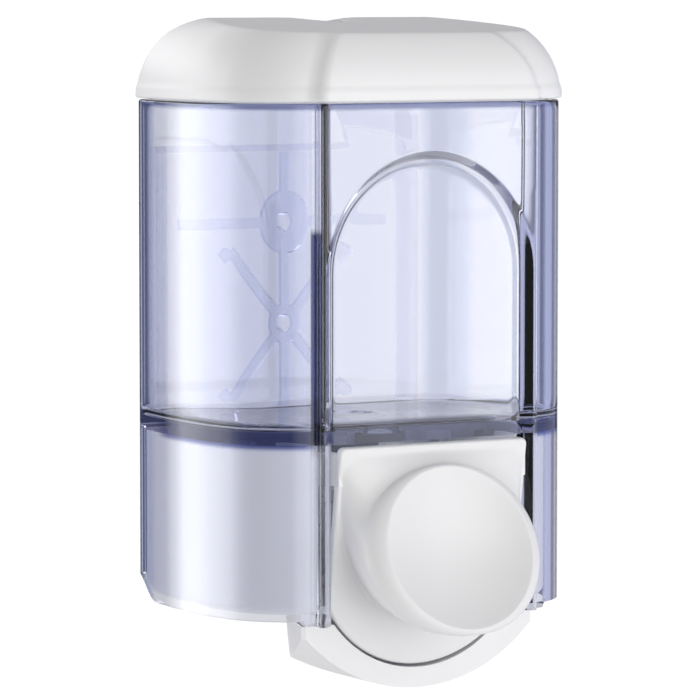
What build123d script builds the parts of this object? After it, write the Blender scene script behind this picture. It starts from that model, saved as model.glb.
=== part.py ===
"""Wall mounted soap dispenser: clear tank, white lid and base, hinged push button and piston pump.

Origin on the wall, midway between the two wall screws. +Y points into the wall, +Z up, millimetres.
Depths in names ending in _in are measured back from the front face of the tank.
"""

import math
import os

from build123d import *

# overall places
body_depth = 74.0
rim_z = 45.0
wall = 3.0
fit_gap = 0.3
seat_gap = 0.1

# plan of the tank, half of it, seen from above
side_half = 49.0
block_step = 18.0
widest_in = 31.9
shoulder_r = 21.2
cheek_r = 53.0
shoulder_turn = 15.0
flank_r = 173.0
rear_corner_r = 8.7
bracket_room = 4.0
block_corner_r = 1.2
block_hollow_r = 1.0
least_corner_r = 1.5

# heights below the rim
floor_top_drop = 77.5
floor_under_drop = 82.0
cheek_drop = 124.4
leg_drop = 125.6
rim_round = 0.8

# arched recess in the front face and the opening for the button
arch_margin = 0.6
arch_bevel = 3.4
arch_depth = 2.8
arch_centre_drop = 41.6
arch_wall = 2.4
leg_width = 3.8

# lid
lid_overhang = 0.8
lid_gap = 0.3
lid_edge_r = 19.3
lid_rise = 20.2
lid_wall = 2.2
lid_corner_r = 3.0
lid_hollow_r = 5.0
lid_top_angle = 82.0
lid_front_height = 16.5
lid_front_in = 8.0
lid_slope = 4.3
collar_depth = 1.6
collar_wall = 1.8
collar_gap = 0.4

# lock in the lid
lock_back = 19.0
lock_r = 4.2
lock_head_r = 5.4
lock_head_height = 1.2
lock_gap = 0.08
lock_boss_wall = 2.2
lock_foot = 4.0
key_slot = (1.6, 6.0)
key_slot_depth = 2.0
scoop_r = 34.0
scoop_depth = 1.3
scoop_lead = 11.0
cam_rise = 5.0
cam_thickness = 2.4
cam_width = 8.0
catch_half = 6.5
catch_plate = 2.4
catch_lip = 2.4
catch_gap = 0.5
lock_screw_r = 1.3
lock_screw_head_r = 2.6
lock_screw_head = 1.6

# wall bracket behind the tank
bracket_margin = 13.0
bracket_top_drop = 14.0
bracket_bottom_drop = 84.0
bracket_plate = 1.8
bracket_front_gap = 0.25
screw_spacing = 26.0
screw_hole_r = 2.5
boss_ring_r = 8.0
lower_boss_r = 5.0
rib_width = 2.6
brace_reach = 19.0
rail_wall = 1.6
rail_lip = 3.2
rail_lip_thickness = 1.2

# base housing inside the skirt
base_wall = 2.0
base_gap = 0.5
base_floor_rise = 1.2
bowl_rounding = 11.8
bowl_margin = 1.2
bowl_drop = 143.0
bowl_front_in = 5.5
bowl_back_in = 42.0
bowl_flat = 7.0
bowl_neck = 2.6
bowl_taper = 24.0
bowl_edge_r = 2.4
well_wall = 2.0
well_gap = 0.6
well_back_in = 23.0

# push button
button_gap = 0.6
button_top_in = -1.6
button_lean = 8.1
button_plate = 2.2
button_bottom_drop = 137.4
button_rounding = 3.4
boss_top_drop = 84.4
boss_side_height = 7.6
boss_bottom_drop = 132.4
boss_margin = 2.2
dish_r = 20.4
dish_depth = 5.0
dish_lip = 0.4
shoulder_out = 4.6
shoulder_fall = 3.2
dish_drop = 107.5
dish_out = 13.4
dish_tilt = 20.0
button_wall = 2.2
cavity_r = 15.0
cavity_back = 9.0
nose_r = 4.0

# hinge pin of the button
pin_r = 1.5
pin_fit = 0.05
pin_in = 10.4
pin_drop = 88.0
lug_r = 3.8
lug_width = 3.0

# pump under the tank floor
pump_drop = 108.0
bore_r = 7.5
barrel_wall = 2.0
barrel_front_in = 20.0
barrel_back_in = 46.0
barrel_end = 2.0
cap_length = 5.0
cap_flange = 1.6
stem_r = 3.2
stem_round = 1.0
stem_fit = 0.1
stem_front_in = 14.6
piston_length = 6.0
piston_front_in = 24.0
piston_gap = 0.25
seal_width = 2.2
seal_depth = 1.6
spring_wire_r = 0.5
spring_mean_r = 5.0
spring_turns = 5
port_in = 38.5

# inlet between the tank floor and the pump
tower_r = 5.2
throat_r = 2.0
cage_r = 3.7
cage_height = 2.0
ball_r = 2.8
ball_lift = 1.6
collar_r = 9.0
grommet_r = 7.0
collar_length = 7.0
grommet_flange_r = 8.6
grommet_flange = 1.4

# outlet
spout_r = 5.0
spout_bore_r = 2.6
spout_length = 17.0
spout_wall = 1.4
valve_length = 6.0

# screws
screw_r = 1.4
screw_head_r = 2.8
screw_head = 1.8
screw_grip = 7.0
boss_r = 3.6
base_screw_in = (25.0, 57.0)
base_screw_margin = (12.5, 13.0)
base_boss_length = 9.0
pump_screw_half = 14.5
pump_screw_in = 32.0
pump_lug = 3.0
pump_boss_length = 14.0

# derived places
front_y = -body_depth
front_half = side_half - block_step
tank_back_in = body_depth - bracket_room
arch_r = front_half - arch_margin
opening_half = front_half - leg_width
bracket_half = side_half - bracket_margin
bowl_half = front_half + bowl_margin
bowl_r = bowl_half + bowl_rounding
flange_half = opening_half - button_gap
button_bottom_r = flange_half + button_rounding
boss_half = opening_half - boss_margin
boss_side_drop = boss_top_drop + boss_side_height
base_screw_half = [side_half - margin for margin in base_screw_margin]
floor_top = rim_z - floor_top_drop
floor_under = rim_z - floor_under_drop
cheek_bottom = rim_z - cheek_drop
leg_bottom = rim_z - leg_drop
pump_z = rim_z - pump_drop
pin_z = rim_z - pin_drop
pin_y = front_y + pin_in
port_y = front_y + port_in
tank_back = front_y + tank_back_in
lock_y = tank_back - lock_back
barrel_r = bore_r + barrel_wall


def level(z):
    """Level plane at a height."""
    return Plane.XY.offset(z)


def upright(depth):
    """Upright plane facing the room, a given depth behind the tank's front face."""
    return Plane(origin=(0, front_y + depth, 0), x_dir=(1, 0, 0), z_dir=(0, -1, 0))


def on_circle(centre, radius, angle):
    """Point of a circle in plan."""
    return (centre[0] + radius * math.cos(angle), centre[1] + radius * math.sin(angle))


def plan_arc(centre, radius, start, end):
    """Arc of a circle in plan, from one angle to another."""
    middle = on_circle(centre, radius, (start + end) / 2)
    return ThreePointArc(on_circle(centre, radius, start), middle, on_circle(centre, radius, end))


def circle_meet(centre_a, radius_a, centre_b, radius_b):
    """The meeting point of two circles that lies nearer the front."""
    dx, dy = centre_b[0] - centre_a[0], centre_b[1] - centre_a[1]
    gap = math.hypot(dx, dy)
    along = (radius_a**2 - radius_b**2 + gap**2) / (2 * gap)
    across = math.sqrt(radius_a**2 - along**2)
    return (centre_a[0] + (along * dx + across * dy) / gap, centre_a[1] + (along * dy - across * dx) / gap)


def plan(z, inset, corner_r=block_corner_r, hollow_r=block_hollow_r):
    """Level plan of the tank drawn in by inset: block, hollow crease, shoulder, flank, rear corner."""
    turn = math.radians(shoulder_turn)
    reach = cheek_r - shoulder_r
    shoulder = (side_half - cheek_r + reach * math.cos(turn), front_y + widest_in - reach * math.sin(turn))
    cheek = (side_half - cheek_r, front_y + widest_in)
    flank = (side_half - flank_r, front_y + widest_in)
    tail_r = max(rear_corner_r - inset, least_corner_r)
    back = front_y + tank_back_in - inset
    swing = flank_r - inset - tail_r
    tail_y = back - tail_r
    tail = (flank[0] + math.sqrt(swing**2 - (tail_y - flank[1]) ** 2), tail_y)
    tail_turn = math.asin((tail_y - flank[1]) / swing)
    edge = (front_half - inset - corner_r, front_y + inset + corner_r)
    hollow = circle_meet(edge, corner_r + hollow_r, shoulder, shoulder_r - inset + hollow_r)
    lead = math.atan2(hollow[1] - edge[1], hollow[0] - edge[0])
    fall = math.atan2(hollow[1] - shoulder[1], hollow[0] - shoulder[0])
    with BuildSketch(level(z)) as drawing:
        with BuildLine():
            Line((0, front_y + inset), (edge[0], front_y + inset))
            plan_arc(edge, corner_r, -math.pi / 2, lead)
            plan_arc(hollow, hollow_r, lead + math.pi, fall + math.pi)
            plan_arc(shoulder, shoulder_r - inset, fall, -turn)
            plan_arc(cheek, cheek_r - inset, -turn, 0)
            plan_arc(flank, flank_r - inset, 0, tail_turn)
            plan_arc(tail, tail_r, tail_turn, math.pi / 2)
            Line((tail[0], back), (0, back))
            mirror(about=Plane.YZ)
        make_face()
    return drawing.sketch


def arch(depth, radius, bottom):
    """Round topped arch with straight legs, standing on bottom, at a depth behind the front face."""
    centre = rim_z - arch_centre_drop
    with BuildSketch(upright(depth)) as drawing:
        with BuildLine():
            Polyline((radius, centre), (radius, bottom), (-radius, bottom), (-radius, centre))
            ThreePointArc((-radius, centre), (0, centre + radius), (radius, centre))
        make_face()
    return drawing.sketch


# clear tank with its skirt, one moulding
rail_y = tank_back + bracket_front_gap + bracket_plate + fit_gap
rail_in = bracket_half + fit_gap
rail_top = rim_z - bracket_top_drop + fit_gap
rail_bottom = rim_z - bracket_bottom_drop + wall
catch_z = rim_z + cam_rise + seat_gap
catch_y = tank_back - wall - collar_gap - collar_wall - catch_gap
catch_foot = rim_z - collar_depth - catch_gap - catch_plate
base_posts = [(s * x, front_y + d) for s in (-1, 1) for x, d in zip(base_screw_half, base_screw_in)]
pump_posts = [(s * pump_screw_half, front_y + pump_screw_in) for s in (-1, 1)]

with BuildPart() as tank:
    extrude(plan(leg_bottom, 0), amount=rim_z - leg_bottom)
    chamfer(tank.edges().group_by(Axis.Z)[-1], rim_round)
    extrude(plan(floor_top, wall), amount=rim_z - floor_top, mode=Mode.SUBTRACT)
    extrude(plan(leg_bottom, wall), amount=floor_under - leg_bottom, mode=Mode.SUBTRACT)
    # arched pane: thickened inside, then sunk from the front with a bevelled edge
    pane_r = arch_r - arch_bevel
    extrude(arch(wall, pane_r + arch_wall, floor_under), amount=-(arch_depth + arch_wall - wall))
    recess = [arch(0, arch_r, leg_bottom).face(), arch(arch_depth, pane_r, leg_bottom).face()]
    loft(recess, mode=Mode.SUBTRACT)
    # front opening for the button, legs left at each side
    with BuildSketch(upright(-wall)):
        with Locations((0, (leg_bottom + floor_under) / 2)):
            Rectangle(2 * opening_half, floor_under - leg_bottom)
    extrude(amount=-(2 * wall + arch_depth + arch_wall), mode=Mode.SUBTRACT)
    # cheeks end a little above the legs, and the skirt is open at the back
    cheek_start = front_y + wall + block_hollow_r
    with Locations((0, (cheek_start + tank_back) / 2, (leg_bottom + cheek_bottom) / 2)):
        Box(2 * side_half, tank_back - cheek_start, cheek_bottom - leg_bottom, mode=Mode.SUBTRACT)
    with Locations((0, tank_back - wall, (leg_bottom + floor_under) / 2)):
        Box(2 * (rail_in - wall), 2 * wall + fit_gap, floor_under - leg_bottom, mode=Mode.SUBTRACT)
    # outlet collar and screw bosses under the floor
    with BuildSketch(level(floor_under)):
        with Locations((0, port_y)):
            Circle(collar_r)
    extrude(amount=-collar_length)
    with BuildSketch(level(floor_under)):
        with Locations(*base_posts):
            Circle(boss_r)
    extrude(amount=-base_boss_length)
    with BuildSketch(level(floor_under)):
        with Locations(*pump_posts):
            Circle(boss_r)
    extrude(amount=-pump_boss_length)
    with BuildSketch(level(floor_under - collar_length)):
        with Locations((0, port_y)):
            Circle(grommet_r)
    extrude(amount=collar_length, mode=Mode.SUBTRACT)
    with BuildSketch(level(floor_under)):
        with Locations((0, port_y)):
            Circle(tower_r)
    extrude(amount=floor_top - floor_under, mode=Mode.SUBTRACT)
    with BuildSketch(level(floor_under - base_boss_length)):
        with Locations(*base_posts):
            Circle(screw_r)
    extrude(amount=screw_grip, mode=Mode.SUBTRACT)
    with BuildSketch(level(floor_under - pump_boss_length)):
        with Locations(*pump_posts):
            Circle(screw_r)
    extrude(amount=screw_grip, mode=Mode.SUBTRACT)
    # hook inside the rear wall that rises into the lid and holds the lock's cam
    with BuildSketch(Plane.YZ.offset(-catch_half)):
        with BuildLine():
            Polyline(
                (tank_back - wall, catch_foot),
                (catch_y - catch_plate, catch_foot),
                (catch_y - catch_plate, catch_z),
                (catch_y - catch_plate - catch_lip, catch_z),
                (catch_y - catch_plate - catch_lip, catch_z + catch_plate),
                (catch_y, catch_z + catch_plate),
                (catch_y, catch_foot + catch_plate),
                (tank_back - wall, catch_foot + catch_plate),
                close=True,
            )
        make_face()
    extrude(amount=2 * catch_half)
    # rails on the back that slide down over the bracket's edges, closed at the top
    for side in (-1, 1):
        with BuildSketch(level(rail_bottom)):
            with BuildLine():
                Polyline(
                    (side * rail_in, tank_back),
                    (side * (rail_in + rail_wall), tank_back),
                    (side * (rail_in + rail_wall), rail_y + rail_lip_thickness),
                    (side * (rail_in - rail_lip), rail_y + rail_lip_thickness),
                    (side * (rail_in - rail_lip), rail_y),
                    (side * rail_in, rail_y),
                    close=True,
                )
            make_face()
        extrude(amount=rail_top + rail_wall - rail_bottom)
    with Locations((0, (tank_back + rail_y) / 2, rail_top + rail_wall / 2)):
        Box(2 * rail_in, rail_y - tank_back, rail_wall)
tank.part.label = "tank"

# wall bracket: a plate stood off the wall by rings, arms and braces
plate_front = tank_back + bracket_front_gap
plate_back = plate_front + bracket_plate
upper_screw = screw_spacing / 2
bracket_top = rim_z - bracket_top_drop
bracket_bottom = rim_z - bracket_bottom_drop
wall_plane = Plane(origin=(0, 0, 0), x_dir=(1, 0, 0), z_dir=(0, -1, 0))

with BuildPart() as wall_bracket:
    with BuildSketch(Plane(origin=(0, plate_back, 0), x_dir=(1, 0, 0), z_dir=(0, -1, 0))) as plate:
        with Locations((0, (bracket_top + bracket_bottom) / 2)):
            RectangleRounded(2 * bracket_half, bracket_top - bracket_bottom, rail_lip)
    extrude(amount=bracket_plate)
    with BuildSketch(wall_plane):
        with Locations((0, upper_screw)):
            Circle(boss_ring_r)
        with Locations((0, -upper_screw)):
            Circle(lower_boss_r)
        with Locations((0, (bracket_top + bracket_bottom) / 2)):
            Rectangle(rib_width, bracket_top - bracket_bottom)
        with Locations((0, upper_screw)):
            Rectangle(2 * (bracket_half - 2 * rail_lip), rib_width)
        with Locations((0, -upper_screw)):
            Rectangle(2 * math.sqrt(2) * brace_reach, rib_width, rotation=45)
            Rectangle(2 * math.sqrt(2) * brace_reach, rib_width, rotation=-45)
    extrude(amount=-plate_back)
    with BuildSketch(wall_plane):
        with Locations((0, upper_screw), (0, -upper_screw)):
            Circle(screw_hole_r)
    extrude(amount=-plate_front, mode=Mode.SUBTRACT)
wall_bracket.part.label = "wall_bracket"

# lid: rounded edge lofted through drawn in plans, top cut by a sloping plane, hollow inside
lid_bottom = rim_z + lid_gap
lid_angles = (0, 20, 40, 60, lid_top_angle)


def lid_form(edge_r, rise, start_inset, corner_r, hollow_r):
    """Plans of the lid at heights on a quarter of an ellipse, from the lower edge up."""
    plans = []
    for angle in lid_angles:
        t = math.radians(angle)
        draw_in = start_inset + edge_r * (1 - math.cos(t))
        plans.append(plan(lid_bottom + rise * math.sin(t), draw_in, corner_r, hollow_r).face())
    return plans


def lid_slope_plane(drop):
    """Sloping plane of the lid's top, lowered by drop."""
    pivot = (0, front_y + lid_front_in, lid_bottom + lid_front_height - drop)
    slope = math.radians(lid_slope)
    return Plane(origin=pivot, x_dir=(1, 0, 0), z_dir=(0, -math.sin(slope), math.cos(slope)))


with BuildPart() as lid_cavity:
    inner_r, inner_rise = lid_edge_r - lid_wall, lid_rise - lid_wall
    loft(lid_form(inner_r, inner_rise, lid_wall - lid_overhang, lid_corner_r, lid_hollow_r))
    split(bisect_by=lid_slope_plane(lid_wall), keep=Keep.BOTTOM)

lock_top = lid_bottom + lid_rise * math.sin(math.radians(lid_top_angle)) - scoop_depth
lock_foot_z = rim_z + cam_rise
with BuildPart() as lid:
    loft(lid_form(lid_edge_r, lid_rise, -lid_overhang, lid_corner_r, lid_hollow_r))
    split(bisect_by=lid_slope_plane(0), keep=Keep.BOTTOM)
    add(lid_cavity.part, mode=Mode.SUBTRACT)
    # flange on the rim and collar that drops inside it
    collar_inset = wall + collar_gap
    collar_height = collar_depth + lid_gap + lid_wall
    extrude(plan(lid_bottom, 0), amount=lid_wall)
    extrude(plan(rim_z - collar_depth, collar_inset), amount=collar_height)
    collar_room = plan(rim_z - collar_depth, collar_inset + collar_wall)
    extrude(collar_room, amount=collar_height, mode=Mode.SUBTRACT)
    # boss that carries the lock, under the shallow scoop at the back of the top
    boss_bottom = lock_foot_z + fit_gap
    with BuildSketch(level(boss_bottom)):
        with Locations((0, lock_y)):
            Circle(lock_head_r + lock_boss_wall)
    extrude(amount=lock_top - lock_head_height - boss_bottom)
    with BuildSketch(Plane(origin=(0, 0, 0), x_dir=(1, 0, 0), z_dir=(0, -1, 0))):
        with Locations((0, lock_top + scoop_r)):
            Circle(scoop_r)
    extrude(amount=scoop_lead - lock_y, mode=Mode.SUBTRACT)
    with BuildSketch(level(lid_bottom)):
        with Locations((0, lock_y)):
            Circle(lock_r + lock_gap)
    extrude(amount=lock_top - lid_bottom, mode=Mode.SUBTRACT)
    with BuildSketch(level(lock_top - lock_head_height)):
        with Locations((0, lock_y)):
            Circle(lock_head_r + lock_gap)
    extrude(amount=2 * lock_head_height, mode=Mode.SUBTRACT)
lid.part.label = "lid"

# lock: turning barrel with a key slot, cam on its foot and the screw that holds the cam
with BuildPart() as lock_barrel:
    with BuildSketch(level(lock_foot_z)):
        with Locations((0, lock_y)):
            Circle(lock_r)
    extrude(amount=lock_top - lock_head_height + seat_gap - lock_foot_z)
    with BuildSketch(level(lock_top - lock_head_height + seat_gap)):
        with Locations((0, lock_y)):
            Circle(lock_head_r)
    extrude(amount=lock_head_height - seat_gap)
    with BuildSketch(level(lock_top - key_slot_depth)):
        with Locations((0, lock_y)):
            Rectangle(*key_slot)
    extrude(amount=key_slot_depth, mode=Mode.SUBTRACT)
    with BuildSketch(level(lock_foot_z - cam_thickness)):
        with Locations((0, lock_y)):
            Rectangle(lock_foot, lock_foot)
    extrude(amount=cam_thickness)
    with Locations((0, lock_y, lock_foot_z - cam_thickness)):
        Hole(lock_screw_r, depth=screw_grip)
lock_barrel.part.label = "lock_barrel"

cam_reach = catch_y - catch_plate - fit_gap - lock_y
with BuildPart() as lock_cam:
    with BuildSketch(level(lock_foot_z - cam_thickness)):
        with Locations((cam_reach / 2, lock_y)):
            Rectangle(cam_reach, cam_width)
        with Locations((0, lock_y)):
            Circle(cam_width / 2 + lock_boss_wall)
            Rectangle(lock_foot + 2 * pin_fit, lock_foot + 2 * pin_fit, mode=Mode.SUBTRACT)
    extrude(amount=cam_thickness - seat_gap)
    fillet(lock_cam.edges().filter_by(Axis.Z).group_by(Axis.X)[-1], cam_width / 4)
lock_cam.part.label = "lock_cam"

with BuildPart() as lock_screw:
    with BuildSketch(level(lock_foot_z - cam_thickness)):
        with Locations((0, lock_y)):
            Circle(lock_screw_r)
    extrude(amount=screw_grip)
    with BuildSketch(level(lock_foot_z - cam_thickness)):
        with Locations((0, lock_y)):
            Circle(lock_screw_head_r + lock_screw_head / 2)
    extrude(amount=-lock_screw_head)
    fillet(lock_screw.edges().group_by(Axis.Z)[0], lock_screw_head / 3)
lock_screw.part.label = "lock_screw"

# base housing: tray inside the skirt with the well for the button and the bowl below it
base_top = floor_under - fit_gap
base_bottom = cheek_bottom + base_floor_rise
base_inset = wall + base_gap
bowl_bottom = rim_z - bowl_drop
well_half = opening_half + button_gap / 2
well_bottom_r = button_bottom_r + well_gap
well_bottom = rim_z - button_bottom_drop - well_gap
post_top = floor_under - base_boss_length - seat_gap


def rounded_foot(depth, half, bottom, radius, top):
    """Upright outline with straight sides and a round lower edge."""
    corner = bottom + radius - math.sqrt(radius**2 - half**2)
    with BuildSketch(upright(depth)) as drawing:
        with BuildLine():
            Polyline((half, corner), (half, top), (-half, top), (-half, corner))
            ThreePointArc((-half, corner), (0, bottom), (half, corner))
        make_face()
    return drawing.sketch


with BuildPart() as base_housing:
    extrude(plan(base_bottom, base_inset), amount=base_top - base_bottom)
    tray_room = plan(base_bottom + base_wall, base_inset + base_wall)
    extrude(tray_room, amount=base_top - base_bottom, mode=Mode.SUBTRACT)
    # bowl under the button, its underside rising towards the wall
    bowl_depth = bowl_back_in - bowl_front_in
    bowl_top = leg_bottom - fit_gap
    extrude(rounded_foot(bowl_front_in, bowl_half, bowl_bottom, bowl_r, bowl_top), amount=-bowl_depth)
    bowl_rim = base_housing.faces().sort_by(Axis.Y)[0].edges().sort_by(Axis.Z)[:-1]
    fillet(bowl_rim, bowl_edge_r)
    neck_in = bowl_front_in + bowl_neck
    neck_top = base_bottom + base_wall
    extrude(rounded_foot(neck_in, bowl_half, bowl_bottom, bowl_r, neck_top), amount=bowl_neck - bowl_depth)
    with BuildSketch(Plane.YZ.offset(-side_half)):
        with BuildLine():
            rise_start = (front_y + bowl_front_in + bowl_flat, bowl_bottom)
            rise_end = (front_y + bowl_back_in, base_bottom)
            TangentArc(rise_start, rise_end, tangent=(1, 0))
            under = bowl_bottom - wall
            Polyline(rise_end, (rise_end[0], under), (rise_start[0], under), rise_start)
        make_face()
    extrude(amount=2 * side_half, mode=Mode.SUBTRACT)
    # sides of the bowl drawn in towards the wall
    taper_start = front_y + bowl_front_in + bowl_edge_r
    taper_end = front_y + bowl_back_in
    drawn_half = bowl_half - (taper_end - taper_start) * math.tan(math.radians(bowl_taper))
    for side in (-1, 1):
        with BuildSketch(level(bowl_bottom)):
            with BuildLine():
                outer_end = (side * bowl_half, taper_end)
                Polyline((side * bowl_half, taper_start), (side * drawn_half, taper_end), outer_end, close=True)
            make_face()
        extrude(amount=base_bottom - bowl_bottom, mode=Mode.SUBTRACT)
    # walls of the well stand each side of the button and carry its hinge pin
    for side in (-1, 1):
        with BuildSketch(Plane.YZ.offset(side * (well_half + well_wall / 2))):
            with Locations((front_y + (pin_in - lug_r + well_back_in) / 2, (base_bottom + base_top) / 2)):
                Rectangle(well_back_in - pin_in + lug_r, base_top - base_bottom)
        extrude(amount=well_wall / 2, both=True)
    # well cut through the tray's front and down into the bowl
    well = rounded_foot(-wall, well_half, well_bottom, well_bottom_r, base_top)
    extrude(well, amount=-(well_back_in + wall), mode=Mode.SUBTRACT)
    # posts for the screws that come up from below
    with BuildSketch(level(base_bottom)):
        with Locations(*base_posts):
            Circle(boss_r + seat_gap)
    extrude(amount=post_top - base_bottom)
    with BuildSketch(level(base_bottom)):
        with Locations(*base_posts):
            Circle(screw_head_r + fit_gap)
    extrude(amount=post_top - base_wall - base_bottom, mode=Mode.SUBTRACT)
    with BuildSketch(level(base_bottom)):
        with Locations(*base_posts):
            Circle(screw_r + fit_gap)
    extrude(amount=post_top - base_bottom, mode=Mode.SUBTRACT)
    # way out for the spout
    with BuildSketch(level(bowl_bottom)):
        with Locations((0, port_y)):
            Circle(spout_r + 2 * fit_gap)
    extrude(amount=base_bottom + 2 * base_wall - bowl_bottom, mode=Mode.SUBTRACT)
    # holes for the hinge pin through the walls of the well
    with BuildSketch(Plane.YZ.offset(-well_half - well_wall)):
        with Locations((pin_y, pin_z)):
            Circle(pin_r + pin_fit)
    extrude(amount=2 * (well_half + well_wall), mode=Mode.SUBTRACT)
base_housing.part.label = "base_housing"

# push button: leaning flange, boss lofted to a tilted ring and a dished face
flange_top = floor_under - button_gap
flange_bottom = rim_z - button_bottom_drop
lean = math.radians(button_lean)
flange_top_edge = (0, front_y + button_top_in, flange_top)
flange_plane = Plane(origin=flange_top_edge, x_dir=(1, 0, 0), z_dir=(0, -math.cos(lean), -math.sin(lean)))
tilt = math.radians(dish_tilt)
dish_centre = (0, front_y - dish_out, rim_z - dish_drop)
dish_plane = Plane(origin=dish_centre, x_dir=(1, 0, 0), z_dir=(0, -math.cos(tilt), math.sin(tilt)))
dish_sphere_r = (dish_r**2 + dish_depth**2) / (2 * dish_depth)


def boss_foot(plane, draw_in, corner_r):
    """Outline where the boss meets the flange: straight top and sides, half ellipse below."""
    top = flange_top - (rim_z - boss_top_drop) + draw_in
    side = flange_top - (rim_z - boss_side_drop)
    low = boss_bottom_drop - boss_side_drop - draw_in
    half = boss_half - draw_in
    with BuildSketch(plane) as drawing:
        with BuildLine():
            Polyline((half, -side), (half, -top), (-half, -top), (-half, -side))
            EllipticalCenterArc((0, -side), half, low, start_angle=180, arc_size=180)
        make_face()
        fillet(drawing.vertices().group_by(Axis.Y)[-1], corner_r)
    return drawing.sketch


def ring(plane, radius):
    """Circle on a plane."""
    with BuildSketch(plane) as drawing:
        Circle(radius)
    return drawing.sketch


with BuildPart() as button_cavity:
    hollow_end = ring(dish_plane.offset(-cavity_back), cavity_r)
    hollow_start = boss_foot(flange_plane.offset(-button_plate), 2 * button_wall, button_wall)
    loft([hollow_start.face(), hollow_end.face()])

with BuildPart() as push_button:
    with BuildSketch(flange_plane):
        with BuildLine():
            low = (flange_top - flange_bottom) / math.cos(lean)
            corner = low - button_bottom_r + math.sqrt(button_bottom_r**2 - flange_half**2)
            Polyline((flange_half, -corner), (flange_half, 0), (-flange_half, 0), (-flange_half, -corner))
            ThreePointArc((-flange_half, -corner), (0, -low), (flange_half, -corner))
        make_face()
    extrude(amount=-button_plate)
    shoulder = ring(dish_plane.offset(-shoulder_fall), dish_r + shoulder_out)
    loft([boss_foot(flange_plane, 0, 2 * button_wall).face(), shoulder.face()])
    loft([shoulder.face(), ring(dish_plane, dish_r + dish_lip).face()])
    add(button_cavity.part, mode=Mode.SUBTRACT)
    # lugs for the hinge pin, hanging behind the flange
    for side in (-1, 1):
        with BuildSketch(Plane.YZ.offset(side * (flange_half - lug_width / 2))):
            with BuildLine():
                lug_front = front_y + button_top_in + button_plate / 2
                Polyline((lug_front, pin_z - lug_r), (pin_y, pin_z - lug_r))
                ThreePointArc((pin_y, pin_z - lug_r), (pin_y + lug_r, pin_z), (pin_y, pin_z + lug_r))
                Polyline((pin_y, pin_z + lug_r), (lug_front, pin_z + lug_r), (lug_front, pin_z - lug_r))
            make_face()
            with Locations((pin_y, pin_z)):
                Circle(pin_r + pin_fit, mode=Mode.SUBTRACT)
        extrude(amount=lug_width / 2, both=True)
    # round nosed pusher on the back of the dish that bears on the pump's stem
    nose_in = stem_front_in - seat_gap - nose_r
    with BuildSketch(upright(nose_in)):
        with Locations((0, pump_z)):
            Circle(nose_r)
    extrude(amount=nose_in + dish_out - dish_depth)
    with Locations((0, front_y + nose_in, pump_z)):
        Sphere(nose_r)
    with Locations(dish_plane.offset(dish_sphere_r - dish_depth).location):
        Sphere(dish_sphere_r, mode=Mode.SUBTRACT)
push_button.part.label = "push_button"

with BuildPart() as pivot_pin:
    with BuildSketch(Plane.YZ.offset(-well_half - well_wall)):
        with Locations((pin_y, pin_z)):
            Circle(pin_r)
    extrude(amount=2 * (well_half + well_wall))
    chamfer(pivot_pin.edges().group_by(Axis.X)[0] + pivot_pin.edges().group_by(Axis.X)[-1], pin_r / 4)
pivot_pin.part.label = "pivot_pin"

# pump barrel: level bore with the inlet tower above it, the outlet below it and two lugs
tower_top = floor_under + seat_gap
cage_bottom = pump_z + bore_r
ball_z = cage_bottom + cage_height + ball_r + pin_fit
seat_z = ball_z + ball_lift + math.sqrt(ball_r**2 - throat_r**2) + seat_gap / 2
lug_z = floor_under - pump_boss_length - seat_gap
outlet_z = pump_z - barrel_r - barrel_wall
barrel_length = barrel_back_in - barrel_front_in

with BuildPart() as pump_barrel:
    with BuildSketch(upright(barrel_front_in)):
        with Locations((0, pump_z)):
            Circle(barrel_r)
    extrude(amount=-barrel_length)
    with BuildSketch(level(pump_z)):
        with Locations((0, port_y)):
            Circle(tower_r + barrel_wall / 2)
    extrude(amount=floor_under - collar_length - seat_gap - grommet_flange - pump_z)
    with BuildSketch(level(pump_z)):
        with Locations((0, port_y)):
            Circle(tower_r - seat_gap)
    extrude(amount=tower_top - pump_z)
    with BuildSketch(level(outlet_z)):
        with Locations((0, port_y)):
            Circle(spout_r - spout_wall - seat_gap)
    extrude(amount=pump_z - outlet_z)
    with BuildSketch(level(lug_z)):
        with Locations((0, front_y + pump_screw_in)):
            SlotCenterToCenter(2 * pump_screw_half, 2 * boss_r)
    extrude(amount=-pump_lug)
    with BuildSketch(upright(barrel_front_in)):
        with Locations((0, pump_z)):
            Circle(bore_r)
    extrude(amount=-(barrel_length - barrel_end), mode=Mode.SUBTRACT)
    with BuildSketch(level(pump_z)):
        with Locations((0, port_y)):
            Circle(cage_r)
    extrude(amount=seat_z - pump_z, mode=Mode.SUBTRACT)
    with BuildSketch(level(pump_z)):
        with Locations((0, port_y)):
            Circle(throat_r)
    extrude(amount=tower_top - pump_z, mode=Mode.SUBTRACT)
    with BuildSketch(level(outlet_z)):
        with Locations((0, port_y)):
            Circle(throat_r)
    extrude(amount=pump_z - outlet_z, mode=Mode.SUBTRACT)
    with BuildSketch(level(lug_z)):
        with Locations(*pump_posts):
            Circle(screw_r + fit_gap / 2)
    extrude(amount=-pump_lug, mode=Mode.SUBTRACT)
pump_barrel.part.label = "pump_barrel"

# cap in the barrel's mouth that guides the stem
with BuildPart() as barrel_cap:
    with BuildSketch(upright(barrel_front_in - seat_gap)):
        with Locations((0, pump_z)):
            Circle(barrel_r)
    extrude(amount=cap_flange)
    with BuildSketch(upright(barrel_front_in - seat_gap)):
        with Locations((0, pump_z)):
            Circle(bore_r - seat_gap)
    extrude(amount=-(piston_front_in - barrel_front_in - fit_gap))
    with BuildSketch(upright(barrel_front_in - seat_gap - cap_flange)):
        with Locations((0, pump_z)):
            Circle(stem_r + stem_fit)
    extrude(amount=-cap_length - cap_flange, mode=Mode.SUBTRACT)
barrel_cap.part.label = "barrel_cap"

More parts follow.
